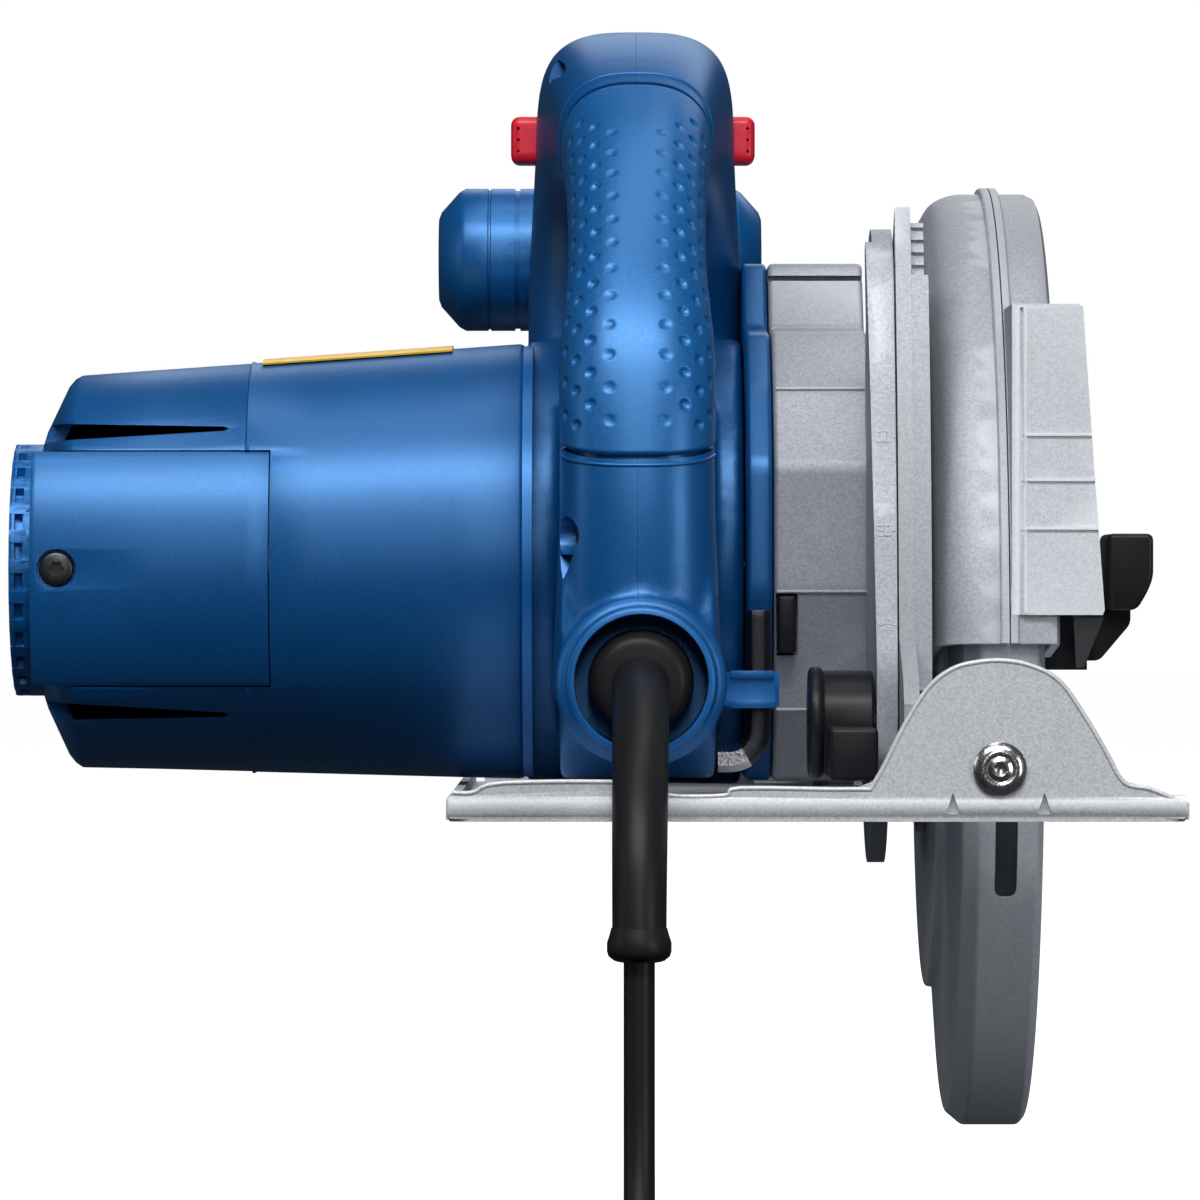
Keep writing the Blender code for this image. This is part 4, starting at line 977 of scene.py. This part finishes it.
def make_front_handle():
    profile = [(-38, 0), (-38, 9.6), (-37.4, 11.2), (-33.2, 15.9), (-31.6, 16.8)]
    profile += [(-26.4, 16.8), (-26.2, 16.4), (-25.8, 16.4), (-25.6, 16.8)]
    profile += [(31.6, 16.8), (33.2, 15.9), (37.4, 11.2), (38, 9.6), (38, 0)]
    front = placed("front_grip", turned(profile, FRONT_HANDLE, sides=128))
    fuse(front, prism(rounded([(62.5, 113), (82, 113), (82, 135), (62.5, 135)], 3), -5, 21))
    for k in range(7):
        at = -20 + k * 7.5
        ring = [(at, 16.3), (at, 20), (at + 1.2, 20), (at + 1.2, 16.3)]
        cut(front, turned(ring, FRONT_HANDLE, sides=96))
    dress(front, "blue_plastic", nodes=["front_handle"], angle=35)


def make_cord_boss():
    """The ring that the cord's ball seat sits in, with its two turned steps."""
    profile = [
        (-119.4, 14.4), (-119.4, 15.2), (-119.0, 15.8), (-118.2, 16.0), (-117.9, 16.5), (-117.4, 17.6),
        (-116.4, 18.1), (-108, 18.15), (-104, 17.0), (-104, 14.4),
    ]  # fmt: skip
    ring = placed("cord_boss", turned(profile, CORD_EXIT, "Y", 128))
    dress(ring, "blue_plastic", angle=50)
    ball = [
        (-118.8, 0), (-118.8, 7.6), (-118.6, 8.8), (-117.6, 10.0), (-115.6, 10.9), (-112, 11.2),
        (-107, 10.2), (-103, 7), (-101, 0),
    ]  # fmt: skip
    seat = placed("cord_ball", turned(ball, CORD_EXIT, "Y", 96))
    dress(seat, "black_rubber", nodes=["cord_gland_ball"], angle=60)


# ---------------------------------------------------------------- gear housing

GEAR_CASE = [
    (24, 123.2), (9, 107.6), (-16, 106.0), (-33, 93), (-45, 76), (-46.4, 48), (-40, 22), (-24, 6),
    (62, 6), (78, 14), (86, 32), (84, 62), (79, 95), (72, 108), (62, 123.2),
]  # fmt: skip
SCALE_EDGE = [(-106, 9), (-112, 12), (-113, 30), (-107, 62), (-97, 95), (-88, 116)]

# Which of its seven strokes a digit uses: the top one, the upper left and right, the middle one,
# the lower left and right, and the bottom one
STROKES = {"0": "1110111", "2": "1011101", "4": "0111010"}


def scale_edge(height):
    low, high = (SCALE_EDGE[3], SCALE_EDGE[4]) if height > 62 else (SCALE_EDGE[2], SCALE_EDGE[3])
    return low[0] + (high[0] - low[0]) * (height - low[1]) / (high[1] - low[1])


def make_scale_marks():
    """The depth scale cast on the flange's rear edge: a tick each 5 mm and a number each 20 mm."""
    boxes = []
    for step in range(12):
        height = 36.0 + 5.0 * step
        boxes.append((62.1, 62.8, height - 0.14, height + 0.14))
        if step % 4 == 1:
            boxes += digit_boxes(str(4 - 2 * (step // 4)), 58.9, height)
            boxes += digit_boxes("0", 60.5, height)
    points = []
    faces = []
    for x0, x1, z0, z1 in boxes:
        first = len(points)
        for shift in (-0.14, 0.6):
            points += [(x, scale_edge(z) + shift, z) for x, z in ((x0, z0), (x1, z0), (x1, z1), (x0, z1))]
        for face in ((0, 1, 2, 3), (7, 6, 5, 4), (0, 4, 5, 1), (1, 5, 6, 2), (2, 6, 7, 3), (3, 7, 4, 0)):
            faces.append([first + corner for corner in face])
    marks = placed("scale_marks", solid(points, faces))
    dress(marks, "cast_aluminium", angle=30)


def digit_boxes(digit, left, middle):
    strokes = (
        (0, 1, 2, 2), (0, 0, 1, 2), (1, 1, 1, 2), (0, 1, 1, 1), (0, 0, 0, 1), (1, 1, 0, 1), (0, 1, 0, 0),
    )  # fmt: skip
    low = middle - 1.2
    return [
        (left + x0, left + x1 + 0.22, low + z0 * 1.1, low + z1 * 1.1 + 0.22)
        for used, (x0, x1, z0, z1) in zip(STROKES[digit], strokes)
        if used == "1"
    ]


def make_gearbox_collar():
    collar = placed("gearbox_collar", prism(rounded(GEAR_CASE, 3.0), 32.3, 38.0))
    cut(collar, rod(20, 45, 34, MOTOR_AXIS, sides=64))
    soften(collar, 1.1, 4, 40)
    dress(collar, "blue_plastic", nodes=["gearbox_flange"])


def scale_plate():
    """The flange that carries the depth scale, with its left face slanted at the top."""
    scale = SCALE_EDGE + [(-81, 124), (-72, 127), (-58, 125), (-44, 112), (-36, 96), (-36, 14)]
    plate = placed("scale_plate", prism(rounded(scale, 5), 58.6, 63.0))
    thick = [(-111, 14), (-113, 30), (-107, 62), (-97, 95), (-88, 116), (-81, 124), (-76, 122), (-76, 14)]
    fuse(plate, prism(rounded(thick, 3), 57.2, 60.0))
    cut(plate, prism([(50, 135), (57.1, 127), (58.65, 33), (58.65, 0), (50, 0)], -125, -20, axis="Y"))
    soften(plate, 1.5, 5, 50)
    return plate


def make_gear_case():
    case = placed("gear_case", prism(rounded(GEAR_CASE, 2.0), 38.3, 59.9))
    soften(case, 1.2, 4, 50)
    nose = [(60, 8), (118, 11.4)] + arc(DEPTH_PIVOT, 9.5, -100, 100, 20) + [(112, 31), (60, 60)]
    fuse(case, prism(nose, 41.2, 56.8))
    combine(case, scale_plate(), "UNION")
    for y, z in ((9, 107.6), (-33, 93), (-46.4, 48), (-40, 22), (24, 118.4)):
        fuse(case, rod(38.9, 59.0, 0.45, (y, z), sides=24))
    cut(case, box((38, 20, 118.9), (61, 25.2, 120.3)))
    cut(case, rod(60.0, 70, 42.2, BLADE_AXIS, sides=96))
    chamber = [(40.9, 0), (40.9, 11.2), (47.3, 11.2), (47.3, 27.5), (66, 27.5), (66, 0)]
    cut(case, turned(chamber, BLADE_AXIS, sides=64))
    seat = [(36, 0), (36, 16.2), (46.6, 16.2), (46.6, 8.5), (65, 8.5), (65, 0)]
    cut(case, turned(seat, MOTOR_AXIS, sides=48))
    cut(case, rod(30, 70, 4.3, DEPTH_PIVOT), rod(50, 70, 3.4, DEPTH_BOLT))
    cut(case, box((38.7, -60, 34.0), (43.5, -37, 47.6)))
    dress(case, "cast_aluminium", nodes=["gear_housing"], angle=28)


def make_spindle_lock():
    lock = placed("arbor_lock", box((39.0, -48.5, 34.5), (43.1, -40.2, 47.1)))
    soften(lock, 0.8, 4)
    dress(lock, "black_plastic", "spindle_lock", ["spindle_lock_button"])


def make_key_clip():
    """The clip on the handle that holds the hex key, with a lip above and below."""
    clip = placed("key_clip", box((22.0, -74.5, 23.2), (38.8, -60.5, 30.5)))
    fuse(clip, box((28.2, -75.4, 29.3), (37.6, -60.8, 30.9)), box((28.2, -75.4, 22.8), (37.6, -60.8, 24.4)))
    cut(clip, box((30.9, -72.0, 20), (37.7, -64.9, 35)))
    soften(clip, 0.35, 2)
    dress(clip, "blue_plastic")


# ---------------------------------------------------------------- guards


# First and last angle of the fixed guard about the blade's axis, and the steps between them
GUARD_SWEEP = (-4.0, 175.3, 120)
CHUTE_REAR = -110.0


def make_upper_guard():
    skin = [(71.0, 20), (71.0, 102), (74.2, 107.6), (79, 109.6), (86.8, 109.6), (86.8, 106.4)]
    skin += [(79, 106.4), (75.4, 105), (72.8, 100.6), (72.8, 20)]
    guard = placed("blade_guard", turned_part(rounded(skin, 2.2, 4), BLADE_AXIS, *GUARD_SWEEP))
    ridge = [(84.9, 108.6), (84.9, 110.7), (85.3, 111), (86.8, 111), (86.8, 108.6)]
    fuse(guard, turned_part(ridge, BLADE_AXIS, *GUARD_SWEEP))
    hub = [
        (60.3, 16.2), (60.3, 41), (64, 41), (64, 21.5), (71.4, 21.5), (71.4, 34), (72.7, 34), (72.7, 15.5),
        (79, 15.5), (79, 9), (71.2, 9), (71.2, 16.2),
    ]  # fmt: skip
    fuse(guard, turned(hub, BLADE_AXIS, sides=96))
    dress(guard, "cast_aluminium", nodes=["upper_guard"], angle=35)


def chute():
    """The dust chute's hood, with grooves and beads on its rear face."""
    hood = [(87.3, 109), (101.4, 109), (102.4, 108.4), (104.7, 75), (107, 44.0), (106.6, 43), (87.3, 43)]
    hood = placed("chute", prism(hood, CHUTE_REAR, -70, axis="Y"))
    for height in (80.6, 71.0, 60.7):
        cut(hood, box((89.2, -112, height - 0.35), (108, -109.2, height + 0.35)))
    cut(hood, box((89.0, -112, 42), (89.7, -109.3, 108.2)))
    soften(hood, 0.35, 2, 40)
    for height in (81.3, 71.7, 61.4):
        fuse(hood, box((90.2, -110.3, height - 0.3), (104.2 + (81 - height) * 0.06, -109.4, height + 0.3)))
    fuse(hood, box((90.0, -110.25, 43.4), (90.5, -109.4, 108.0)))
    return hood


def make_guard_cover():
    rim = [(87.1, 106.4), (87.1, 111), (88.6, 111), (88.9, 110.6), (88.9, 109.6), (95, 109.6), (97.0, 108.6)]
    rim += [(97.7, 107), (97.7, 70), (95.9, 70), (95.9, 106.4)]
    cover = placed("guard_shell", turned_part(rim, BLADE_AXIS, *GUARD_SWEEP))
    side = [(95.95, 36), (95.95, 71), (97.65, 71), (97.65, 36)]
    fuse(cover, turned_part(side, BLADE_AXIS, -3.7, 58, 48))
    side = [(96.0, 36.5), (96.0, 48), (97.6, 48), (97.6, 36.5)]
    fuse(cover, turned_part(side, BLADE_AXIS, 50, 150, 60))
    combine(cover, chute(), "UNION")
    cut(cover, rod(60, 95.9, 102.0, BLADE_AXIS, sides=128))
    cut(cover, prism([(98.5, 104), (101.0, 104), (105.2, 40), (98.5, 40)], -106, -74, axis="Y"))
    cut(cover, box((94, -98, 52), (100, -80, 92)))
    fin = [(100.5, 43.6), (107.0, 43.6), (106.6, 41.5), (102.6, 31.8), (101.2, 31.8)]
    fin = placed("chute_fin", prism(fin, -107.5, -104.5, axis="Y"))
    # The fin is part of the aluminium cover; dark steel here paints the shade beneath the chute.
    dress(fin, "dark_steel", angle=30)
    dress(cover, "cast_aluminium", nodes=["guard_cover"], angle=35)
    # The chute's rear faces get a paler copy of the aluminium: a painted highlight.
    cover.data.materials.append(CHUTE_PAINTED_HIGHLIGHT)
    for face in cover.data.polygons:
        if face.center.y < (CHUTE_REAR + 0.8) * MM and face.center.z > 43.5 * MM:
            face.material_index = 1


def make_lower_guard():
    channel = [
        (73.1, 28), (73.1, 68.8), (75.5, 69.2), (77.6, 97), (81.2, 100),
        (93.6, 100), (95, 98.4), (95, 28), (93.3, 28), (93.3, 98), (81.6, 98), (79.2, 94.8),
        (77.3, 67.6), (75, 67.0), (75, 28),
    ]  # fmt: skip
    guard = placed("retracting_guard", turned_part(rounded(channel, 0.7, 3), BLADE_AXIS, -188, -12, 128))
    fuse(guard, turned([(73.1, 16), (73.1, 33), (74.9, 33), (74.9, 16)], BLADE_AXIS, sides=96))
    slot = rounded([(84.6, -17.5), (89.4, -17.5), (89.4, 12), (84.6, 12)], 2.0)
    cut(guard, prism(slot, -110, -80, axis="Y"))
    # The lower guard gets a paler copy of the aluminium: painted light on faces that turn down and back, away from
    # the lamps.
    dress(guard, "cast_aluminium", "lower_guard", ["lower_guard"], angle=35, material=GUARD_PAINTED_LIGHT)
    outline = [(109, 60.5), (119, 60.5), (119, 51), (117.6, 47.6), (115.4, 44), (109, 44)]
    lever = placed("guard_lever", prism(rounded(outline, 1.6), -86, -60, axis="Y"))
    soften(lever, 1.0, 4, 50)
    tail = [(115.4, 46), (115.4, 41), (108.6, 33), (103.8, 33), (103.8, 38), (109.6, 46)]
    fuse(lever, prism(rounded(tail, 1.2), -65.5, -52.5, axis="Y"))
    fuse(lever, box((95.3, -64.5, 31.0), (106.0, -53.5, 37.0)))
    fuse(lever, box((98.2, -64.0, 36.0), (105.0, -54.0, 43.6)))
    dress(lever, "black_plastic", "lower_guard", ["retract_lever"])


# ---------------------------------------------------------------- blade


BLADE_TEETH = 24
BLADE_RADIUS = 92.0
# One tooth and its gullet: share of the pitch, and radius
TOOTH = (
    (0.0, BLADE_RADIUS), (0.05, 90.6), (0.30, 89.3), (0.55, 88.2), (0.70, 87.0), (0.80, 84.4),
    (0.88, 83.0), (0.96, 83.6), (0.995, 86.0),
)  # fmt: skip
# Where a carbide tip sits on its tooth: along the radius and across it
TIP = ((85.0, 0.0), (BLADE_RADIUS, 0.15), (91.4, -2.6), (85.4, -2.2))


def make_blade():
    outline = []
    for tooth in range(BLADE_TEETH):
        for part, reach in TOOTH:
            outline.append(polar(BLADE_AXIS, reach, -2 * math.pi * (tooth + part) / BLADE_TEETH))
    blade = placed("blade_disc", prism(outline, 83.3, 84.7))
    cut(blade, rod(80, 90, 7.9, BLADE_AXIS, sides=64))
    for slot in range(4):
        place = polar(BLADE_AXIS, 66, math.radians(90 * slot + 20))
        cut(blade, rod(80, 90, 2.6, place, sides=32))
    dress(blade, "bright_steel", "spindle", ["saw_blade"], angle=30, material=BLADE_FINISH)
    for tooth in range(BLADE_TEETH):
        angle = -2 * math.pi * tooth / BLADE_TEETH
        out = Vector((math.cos(angle), math.sin(angle)))
        along = Vector((-math.sin(angle), math.cos(angle)))
        points = [(out.x * a + along.x * b, BLADE_AXIS[1] + out.y * a + along.y * b) for a, b in TIP]
        tip = placed(f"carbide_tip_{tooth:02d}", prism(points, 83.2, 84.8))
        dress(tip, "dark_steel", "spindle", angle=30)


def make_flanges():
    for name, low, high, face in (("inner_flange", 79.6, 82.9, -1), ("outer_flange", 85.1, 87.7, 1)):
        ring = [(low, 7.8), (low, 16.6), (low + 0.3, 17.4), (low + 0.8, 18)]
        ring += [(high - 0.5, 18), (high, 17.4), (high, 7.8)]
        flange = placed(f"{name}_disc", turned(ring, BLADE_AXIS, sides=96))
        if face > 0:
            cut(flange, turned([(87.2, 11), (87.2, 15), (88, 15), (88, 11)], BLADE_AXIS, sides=96))
        dress(flange, "dark_steel", "spindle", [name])
    shank = [(74, 0), (74, 3.9), (89, 3.9), (89, 7.4), (92.0, 7.4), (92.9, 6.4), (92.9, 0)]
    bolt = placed("arbor_bolt", turned(shank, BLADE_AXIS, sides=64))
    keep(bolt, prism(arc(BLADE_AXIS, 7.6, 0, 300, 5), 70, 95))
    washer = [(88.0, 0), (88.0, 9.2), (88.3, 9.5), (89.6, 9.5), (90.0, 9.1), (90.0, 0)]
    fuse(bolt, turned(washer, BLADE_AXIS, sides=64))
    dress(bolt, "dark_steel", "spindle", ["blade_bolt"])


# ---------------------------------------------------------------- depth and bevel setting


def make_depth_clamp():
    y, z = DEPTH_BOLT
    hub = [
        (44.3, 3.3), (44.3, 10.8), (44.6, 11.6), (45.2, 12), (46.4, 12), (47.1, 11.7), (47.6, 11.0),
        (48.2, 11.2), (57.6, 11.2), (58.2, 10.6), (58.2, 3.3),
    ]  # fmt: skip
    lever = placed("depth_lever", turned(hub, DEPTH_BOLT, sides=96))
    arm = placed("arm", box((48.0, y - 34, z - 11.6), (58.2, y - 4.4, z - 0.6)))
    soften(arm, 1.0, 4)
    combine(lever, arm, "UNION")
    dress(lever, "black_plastic", "depth_clamp", ["depth_clamp_lever"])
    bolt = placed("depth_bolt", rod(46, 69.0, 3.0, DEPTH_BOLT, sides=48))
    fuse(bolt, box((67.3, y - 4.2, z - 4.2), (69.9, y + 4.2, z + 4.2)))
    soften(bolt, 0.3, 2)
    dress(bolt, "bright_steel", nodes=["depth_clamp_bolt"])


def make_depth_arm():
    arm = placed("depth_arm", prism(band(DEPTH_PIVOT, 214, 236, 180 - 28, 180 + 2.6, 48), 63.4, 66.7))
    fuse(arm, prism(band(DEPTH_PIVOT, 231.2, 235.8, 180 - 24, 180 + 2.4, 48), 65, 70.4))
    fuse(arm, prism(band(DEPTH_PIVOT, 231.0, 233.4, 180 - 27.4, 180 - 23, 12), 65, 69.6))
    for step in range(4):
        place = arc(DEPTH_PIVOT, 233.2, 180 - 24.7 - 0.75 * step, 180 - 24, 1)[0]
        cut(arm, rod(66.9, 72, 0.8, place, sides=16))
    foot = [(-136.6, 9.4), (-136.6, 24), (-130, 30), (-104, 40), (-104, 9.4)]
    fuse(arm, prism(foot, 63.5, 66.8))
    x, z = BEVEL_X, BEVEL_Z
    ear = [(63.45, 9.3), (74, 8.6)] + arc((x, z), 8.4, 200, 420, 36) + [(74, 24.5), (63.45, 24.5)]
    fuse(arm, prism(ear, -137.4, -134.6, axis="Y"))
    cut(arm, prism(band(DEPTH_PIVOT, 221.5, 228.5, 180 - 26.9, 180 + 1.3, 48), 60, 67.0))
    cut(arm, box((66.95, -112, 12), (72, -94.6, 27)), rod(-150, -120, 4.4, (x, z), "Y"))
    soften(arm, 0.3, 2, 50)
    # The depth arm gets a darker copy of the steel: painted shade that tones down its highlight.
    dress(arm, "sheet_steel", "bevel_frame", ["depth_guide_arm"], material=ARM_PAINTED_SHADE)


def make_front_bracket():
    y, z = DEPTH_PIVOT
    plate = [(36.9, 10), (36.9, 30), (52, 39), (68, 39), (82, 21)]
    plate += [(91.5, 16), (91.5, 8), (84, 2.9), (76, 5), (60, 8)]
    bracket = placed("front_bracket", prism(rounded(plate, 2.5), 135.3, 138.2, axis="Y"))
    ear = arc(DEPTH_PIVOT, 10, 90, 270, 24) + [(y + 11, z - 10), (y + 11, z + 10)]
    fuse(bracket, prism(ear, 37.2, 40.8), prism(ear, 57.2, 60.8))
    cut(bracket, rod(30, 70, 4.3, DEPTH_PIVOT), rod(120, 150, 4.3, (BEVEL_X, BEVEL_Z), "Y"))
    cut(bracket, rod(120, 150, 3.3, BEVEL_BOLT, "Y", 32))
    soften(bracket, 0.4, 2, 50)
    dress(bracket, "sheet_steel", "bevel_frame", ["front_pivot_bracket"])
    pin = [(34.6, 0), (34.6, 5.4), (35.2, 6.2), (36.6, 6.2), (36.6, 4), (61.2, 4), (61.2, 6.2), (62.4, 6.2)]
    pin = placed("hinge_pin", turned(pin + [(63.0, 5.4), (63.0, 0)], DEPTH_PIVOT, sides=64))
    dress(pin, "bright_steel", "bevel_frame", ["front_pivot_pin"])


def make_wing_screw():
    knob = [(133, 0), (133, 3.0), (141.6, 3.0), (141.6, 7.6), (142, 8)]
    knob += [(144, 8), (146, 6), (153.4, 5), (154, 4.4), (154, 0)]
    screw = placed("wing_screw", turned(knob, BEVEL_BOLT, "Y", 48))
    x, z = BEVEL_BOLT
    wing = [(x - 15, z - 2), (x + 15, z - 2), (x + 15, z + 2), (x - 15, z + 2)]
    fuse(screw, prism(rounded(wing, 1.6), 147, 153, axis="Y"))
    soften(screw, 0.5, 3, 45)
    dress(screw, "dark_steel", "bevel_wing_screw", ["bevel_wing_screw"])


# ---------------------------------------------------------------- base

BASE_LEFT, BASE_RIGHT, BASE_REAR, BASE_FRONT = -32.1, 122.8, -140.0, 145.0
REAR_WALL = [
    (-31.4, 0.6), (-32.1, 2.2), (-32.0, 5.0), (-30.6, 6.4), (-26.6, 6.4), (-20, 8.4), (8, 8.4), (14.6, 5.8),
    (26, 5.8), (29.4, 7.3), (53.5, 7.1), (57.2, 8.5), (63.3, 20.2), (68.3, 28.1), (73.1, 32), (78.1, 33.5),
    (84.1, 33.9), (90.1, 32.7), (95.8, 29.5), (101.2, 21.9), (105.5, 14.6), (109.1, 8.5), (114.7, 7.1),
    (120.7, 4.6), (122.8, 3.4), (122.4, 1.2), (121.6, 0.6),
]  # fmt: skip
FRONT_BRACKET = [
    (46, 1.0), (48, 18), (53, 36), (62, 45), (74, 48.6), (88, 48), (98, 41), (106, 24), (112, 8), (116, 1.0),
]  # fmt: skip


def make_base():
    low = (BASE_LEFT + 0.6, BASE_REAR + 0.5)
    high = (BASE_RIGHT - 0.6, BASE_FRONT - 0.5)
    sheet = [low, (high[0], low[1]), high, (low[0], high[1])]
    plate = placed("tilting_base", prism(rounded(sheet, 5), 0, 2.0, axis="Z"))
    fuse(plate, prism(rounded(REAR_WALL, 1.2, 3), BASE_REAR + 0.5, BASE_REAR + 2.1, axis="Y"))
    fuse(plate, box((BASE_LEFT, BASE_REAR + 1, 0.4), (BASE_LEFT + 2, BASE_FRONT - 4, 4.6)))
    fuse(plate, box((BASE_RIGHT - 2, BASE_REAR + 1, 0.4), (BASE_RIGHT, BASE_FRONT - 4, 3.9)))
    fuse(plate, box((BASE_LEFT + 4, BASE_FRONT - 2, 0.5), (BASE_RIGHT - 4, BASE_FRONT, 6.2)))
    fuse(plate, prism(rounded(FRONT_BRACKET, 4), 138.6, 140.7, axis="Y"))
    fuse(plate, box((7, 116, 1), (37, 137, 9.6)))
    cut(plate, box((57, -104, -5), (98, 104, 7)), box((51, -38, -5), (60, 38, 7)))
    cut(plate, box((3, 120.4, 2.6), (41, 132.8, 7.5)))
    cut(plate, prism(band((BEVEL_X, BEVEL_Z), 24.7, 31.9, 82, 143, 24), 130, 144, axis="Y"))
    cut(plate, rod(-145, -130, 4.4, (BEVEL_X, BEVEL_Z), "Y"), rod(130, 150, 4.4, (BEVEL_X, BEVEL_Z), "Y"))
    cut(plate, rod(7.2, 12, 2.9, (22, 128), "Z", 32))
    soften(plate, 0.5, 3, 40)
    fold = [(1.4, 0.4), (0.7, 0.7), (0.2, 1.6), (0.0, 3.0), (0.15, 4.4), (0.6, 5.4), (1.4, 5.6)]
    fold = placed("fold", prism([(BASE_REAR + y, z) for y, z in fold], -31.6, 122.2))
    combine(plate, fold, "UNION")
    for x in (73.5, 92.6):
        notch = [(x - 1.5, 1.6), (x + 1.5, 1.6), (x, 6.0)]
        cut(plate, prism(notch, BASE_REAR - 1, BASE_REAR + 1.6, axis="Y"))
    lip = [(x, BASE_REAR + 0.75, z - 0.35) for x, z in smooth(REAR_WALL[3:24], 4)]
    fuse(plate, loft(tube_rings(lip, [0.55] * len(lip), 10)))
    dress(plate, "sheet_steel", "base", ["base_plate"])


def make_rivets():
    for name, way, face, back in (("rear_rivet", -1, -141.9, -132.8), ("front_rivet", 1, 142.6, 134.8)):
        head = [(face - way * 0.3, 0), (face - way * 0.3, 0.9), (face, 1.3), (face - way * 0.05, 2.0)]
        head += [(face - way * 0.6, 2.5), (face - way * 0.6, 2.8), (face - way * 0.3, 3.3)]
        head += [(face - way * 0.7, 4.4), (face - way * 1.2, 5.2), (face - way * 1.6, 5.6)]
        head += [(face - way * 1.65, 4)]
        head += [(back + way * 1.4, 4), (back + way * 1.4, 5.4), (back, 5.4), (back, 0)]
        rivet = placed(f"bevel_{name}", turned(head, (BEVEL_X, BEVEL_Z), "Y", 96))
        node = name.replace("_", "_pivot_")
        dress(rivet, "bright_steel", "base", [node], angle=60)


def make_fence_screw():
    knob = [(7.6, 0), (7.6, 2.5), (10.2, 2.5), (10.2, 7.2), (10.8, 8.0), (13, 8.2)]
    knob += [(18.4, 8.2), (19.4, 7.9), (20.6, 6.6), (20.6, 0)]
    screw = placed("fence_knob", turned(knob, (22.0, 128.0), "Z", 64))
    wing = [(11, 18), (33, 18), (33, 26), (11, 26)]
    fuse(screw, prism(rounded(wing, 3), 126.4, 129.6, axis="Y"))
    soften(screw, 0.5, 3, 45)
    dress(screw, "black_plastic", "fence_screw", ["fence_screw"])


def make_hex_key():
    route = smooth([(34.3, 44), (34.3, 20), (32.9, 14.2), (29.8, 12.0), (25.6, 11.8)], 10)
    points = [(x, -68.5, z) for x, z in route]
    key = placed("allen_key", loft(tube_rings(points, [2.9] * len(points), 6)))
    soften(key, 0.35, 2, 40)
    dress(key, "dark_steel", "hex_key", ["hex_key"])
    tip = placed("key_tip", loft(tube_rings(points[-16:], [2.96] * 16, 6)))
    dress(tip, "bright_steel", "hex_key", angle=30)


# ---------------------------------------------------------------- stage


# Each studio light's name, place and size in metres, and power in watts
LIGHTS = (
    ("key", (-0.2, -1.6, 1.95), (2.2, 0.5), 58),
    ("strip", (0.04, -1.85, 0.8), (0.12, 1.2), 7),
    ("left", (-2.0, -0.5, 0.5), (0.5, 1.2), 3),
    ("right", (1.5, -1.4, 0.2), (0.4, 1.0), 10),
    ("top", (0.1, 0.1, 2.0), (0.6, 1.8), 9),
    ("back", (0.4, 1.9, 1.3), (1.8, 0.9), 9),
)
LIGHTS_AIM = (0, 0, 0.06)
FLOOR_RADIUS = 14000
ROOM_LIGHT = 0.045


def make_floor():
    floor = placed("floor", rod(BENCH_Z - 40, BENCH_Z - 0.05, FLOOR_RADIUS, (0, 0), "Z", 128))
    graph = Graph("pale_floor")
    tone = graph.noise(3, 2.0, 0.5)
    graph.link(graph.mix(tone, (0.38, 0.38, 0.39), (0.42, 0.42, 0.42)), graph.shader.inputs["Base Color"])
    graph.shader.inputs["Roughness"].default_value = 0.9
    graph.shader.inputs["Emission Color"].default_value = (1, 1, 1, 1)
    graph.shader.inputs["Emission Strength"].default_value = 0.97
    floor.data.materials.append(graph.material)
    floor.visible_diffuse = False
    floor.visible_glossy = False


def make_lights():
    for name, place, size, power in LIGHTS:
        data = bpy.data.lights.new(name, "AREA")
        data.shape = "RECTANGLE"
        data.size, data.size_y = size
        data.energy = power
        light = bpy.data.objects.new(name, data)
        light.location = place
        aim = Vector(LIGHTS_AIM) - Vector(place)
        light.rotation_euler = aim.to_track_quat("-Z", "Y").to_euler()
        bpy.context.scene.collection.objects.link(light)


def make_world():
    """A white backdrop for the camera, which lights the saw only faintly."""
    world = bpy.data.worlds.new("studio")
    bpy.context.scene.world = world
    world.use_nodes = True
    tree = world.node_tree
    seen = tree.nodes.new("ShaderNodeBackground")
    seen.inputs["Color"].default_value = (1, 1, 1, 1)
    seen.inputs["Strength"].default_value = 1.0
    lit = tree.nodes["Background"]
    lit.inputs["Color"].default_value = (0.85, 0.92, 1.0, 1)
    lit.inputs["Strength"].default_value = ROOM_LIGHT
    rays = tree.nodes.new("ShaderNodeLightPath")
    blend = tree.nodes.new("ShaderNodeMixShader")
    tree.links.new(rays.outputs["Is Camera Ray"], blend.inputs["Fac"])
    tree.links.new(lit.outputs["Background"], blend.inputs[1])
    tree.links.new(seen.outputs["Background"], blend.inputs[2])
    tree.links.new(blend.outputs["Shader"], tree.nodes["World Output"].inputs["Surface"])


make_camera()
repaint_frame()
make_cord()
make_motor_housing()
make_brush_cover()
make_end_cap()
make_label()
make_handle_shells()
make_grip_rims()
make_soft_grip()
make_controls()
make_front_handle()
make_cord_boss()
make_gearbox_collar()
make_gear_case()
make_spindle_lock()
make_scale_marks()
make_key_clip()
make_upper_guard()
make_guard_cover()
make_lower_guard()
make_blade()
make_flanges()
make_depth_clamp()
make_depth_arm()
make_front_bracket()
make_wing_screw()
make_base()
make_rivets()
make_fence_screw()
make_hex_key()
make_floor()
make_lights()
make_world()
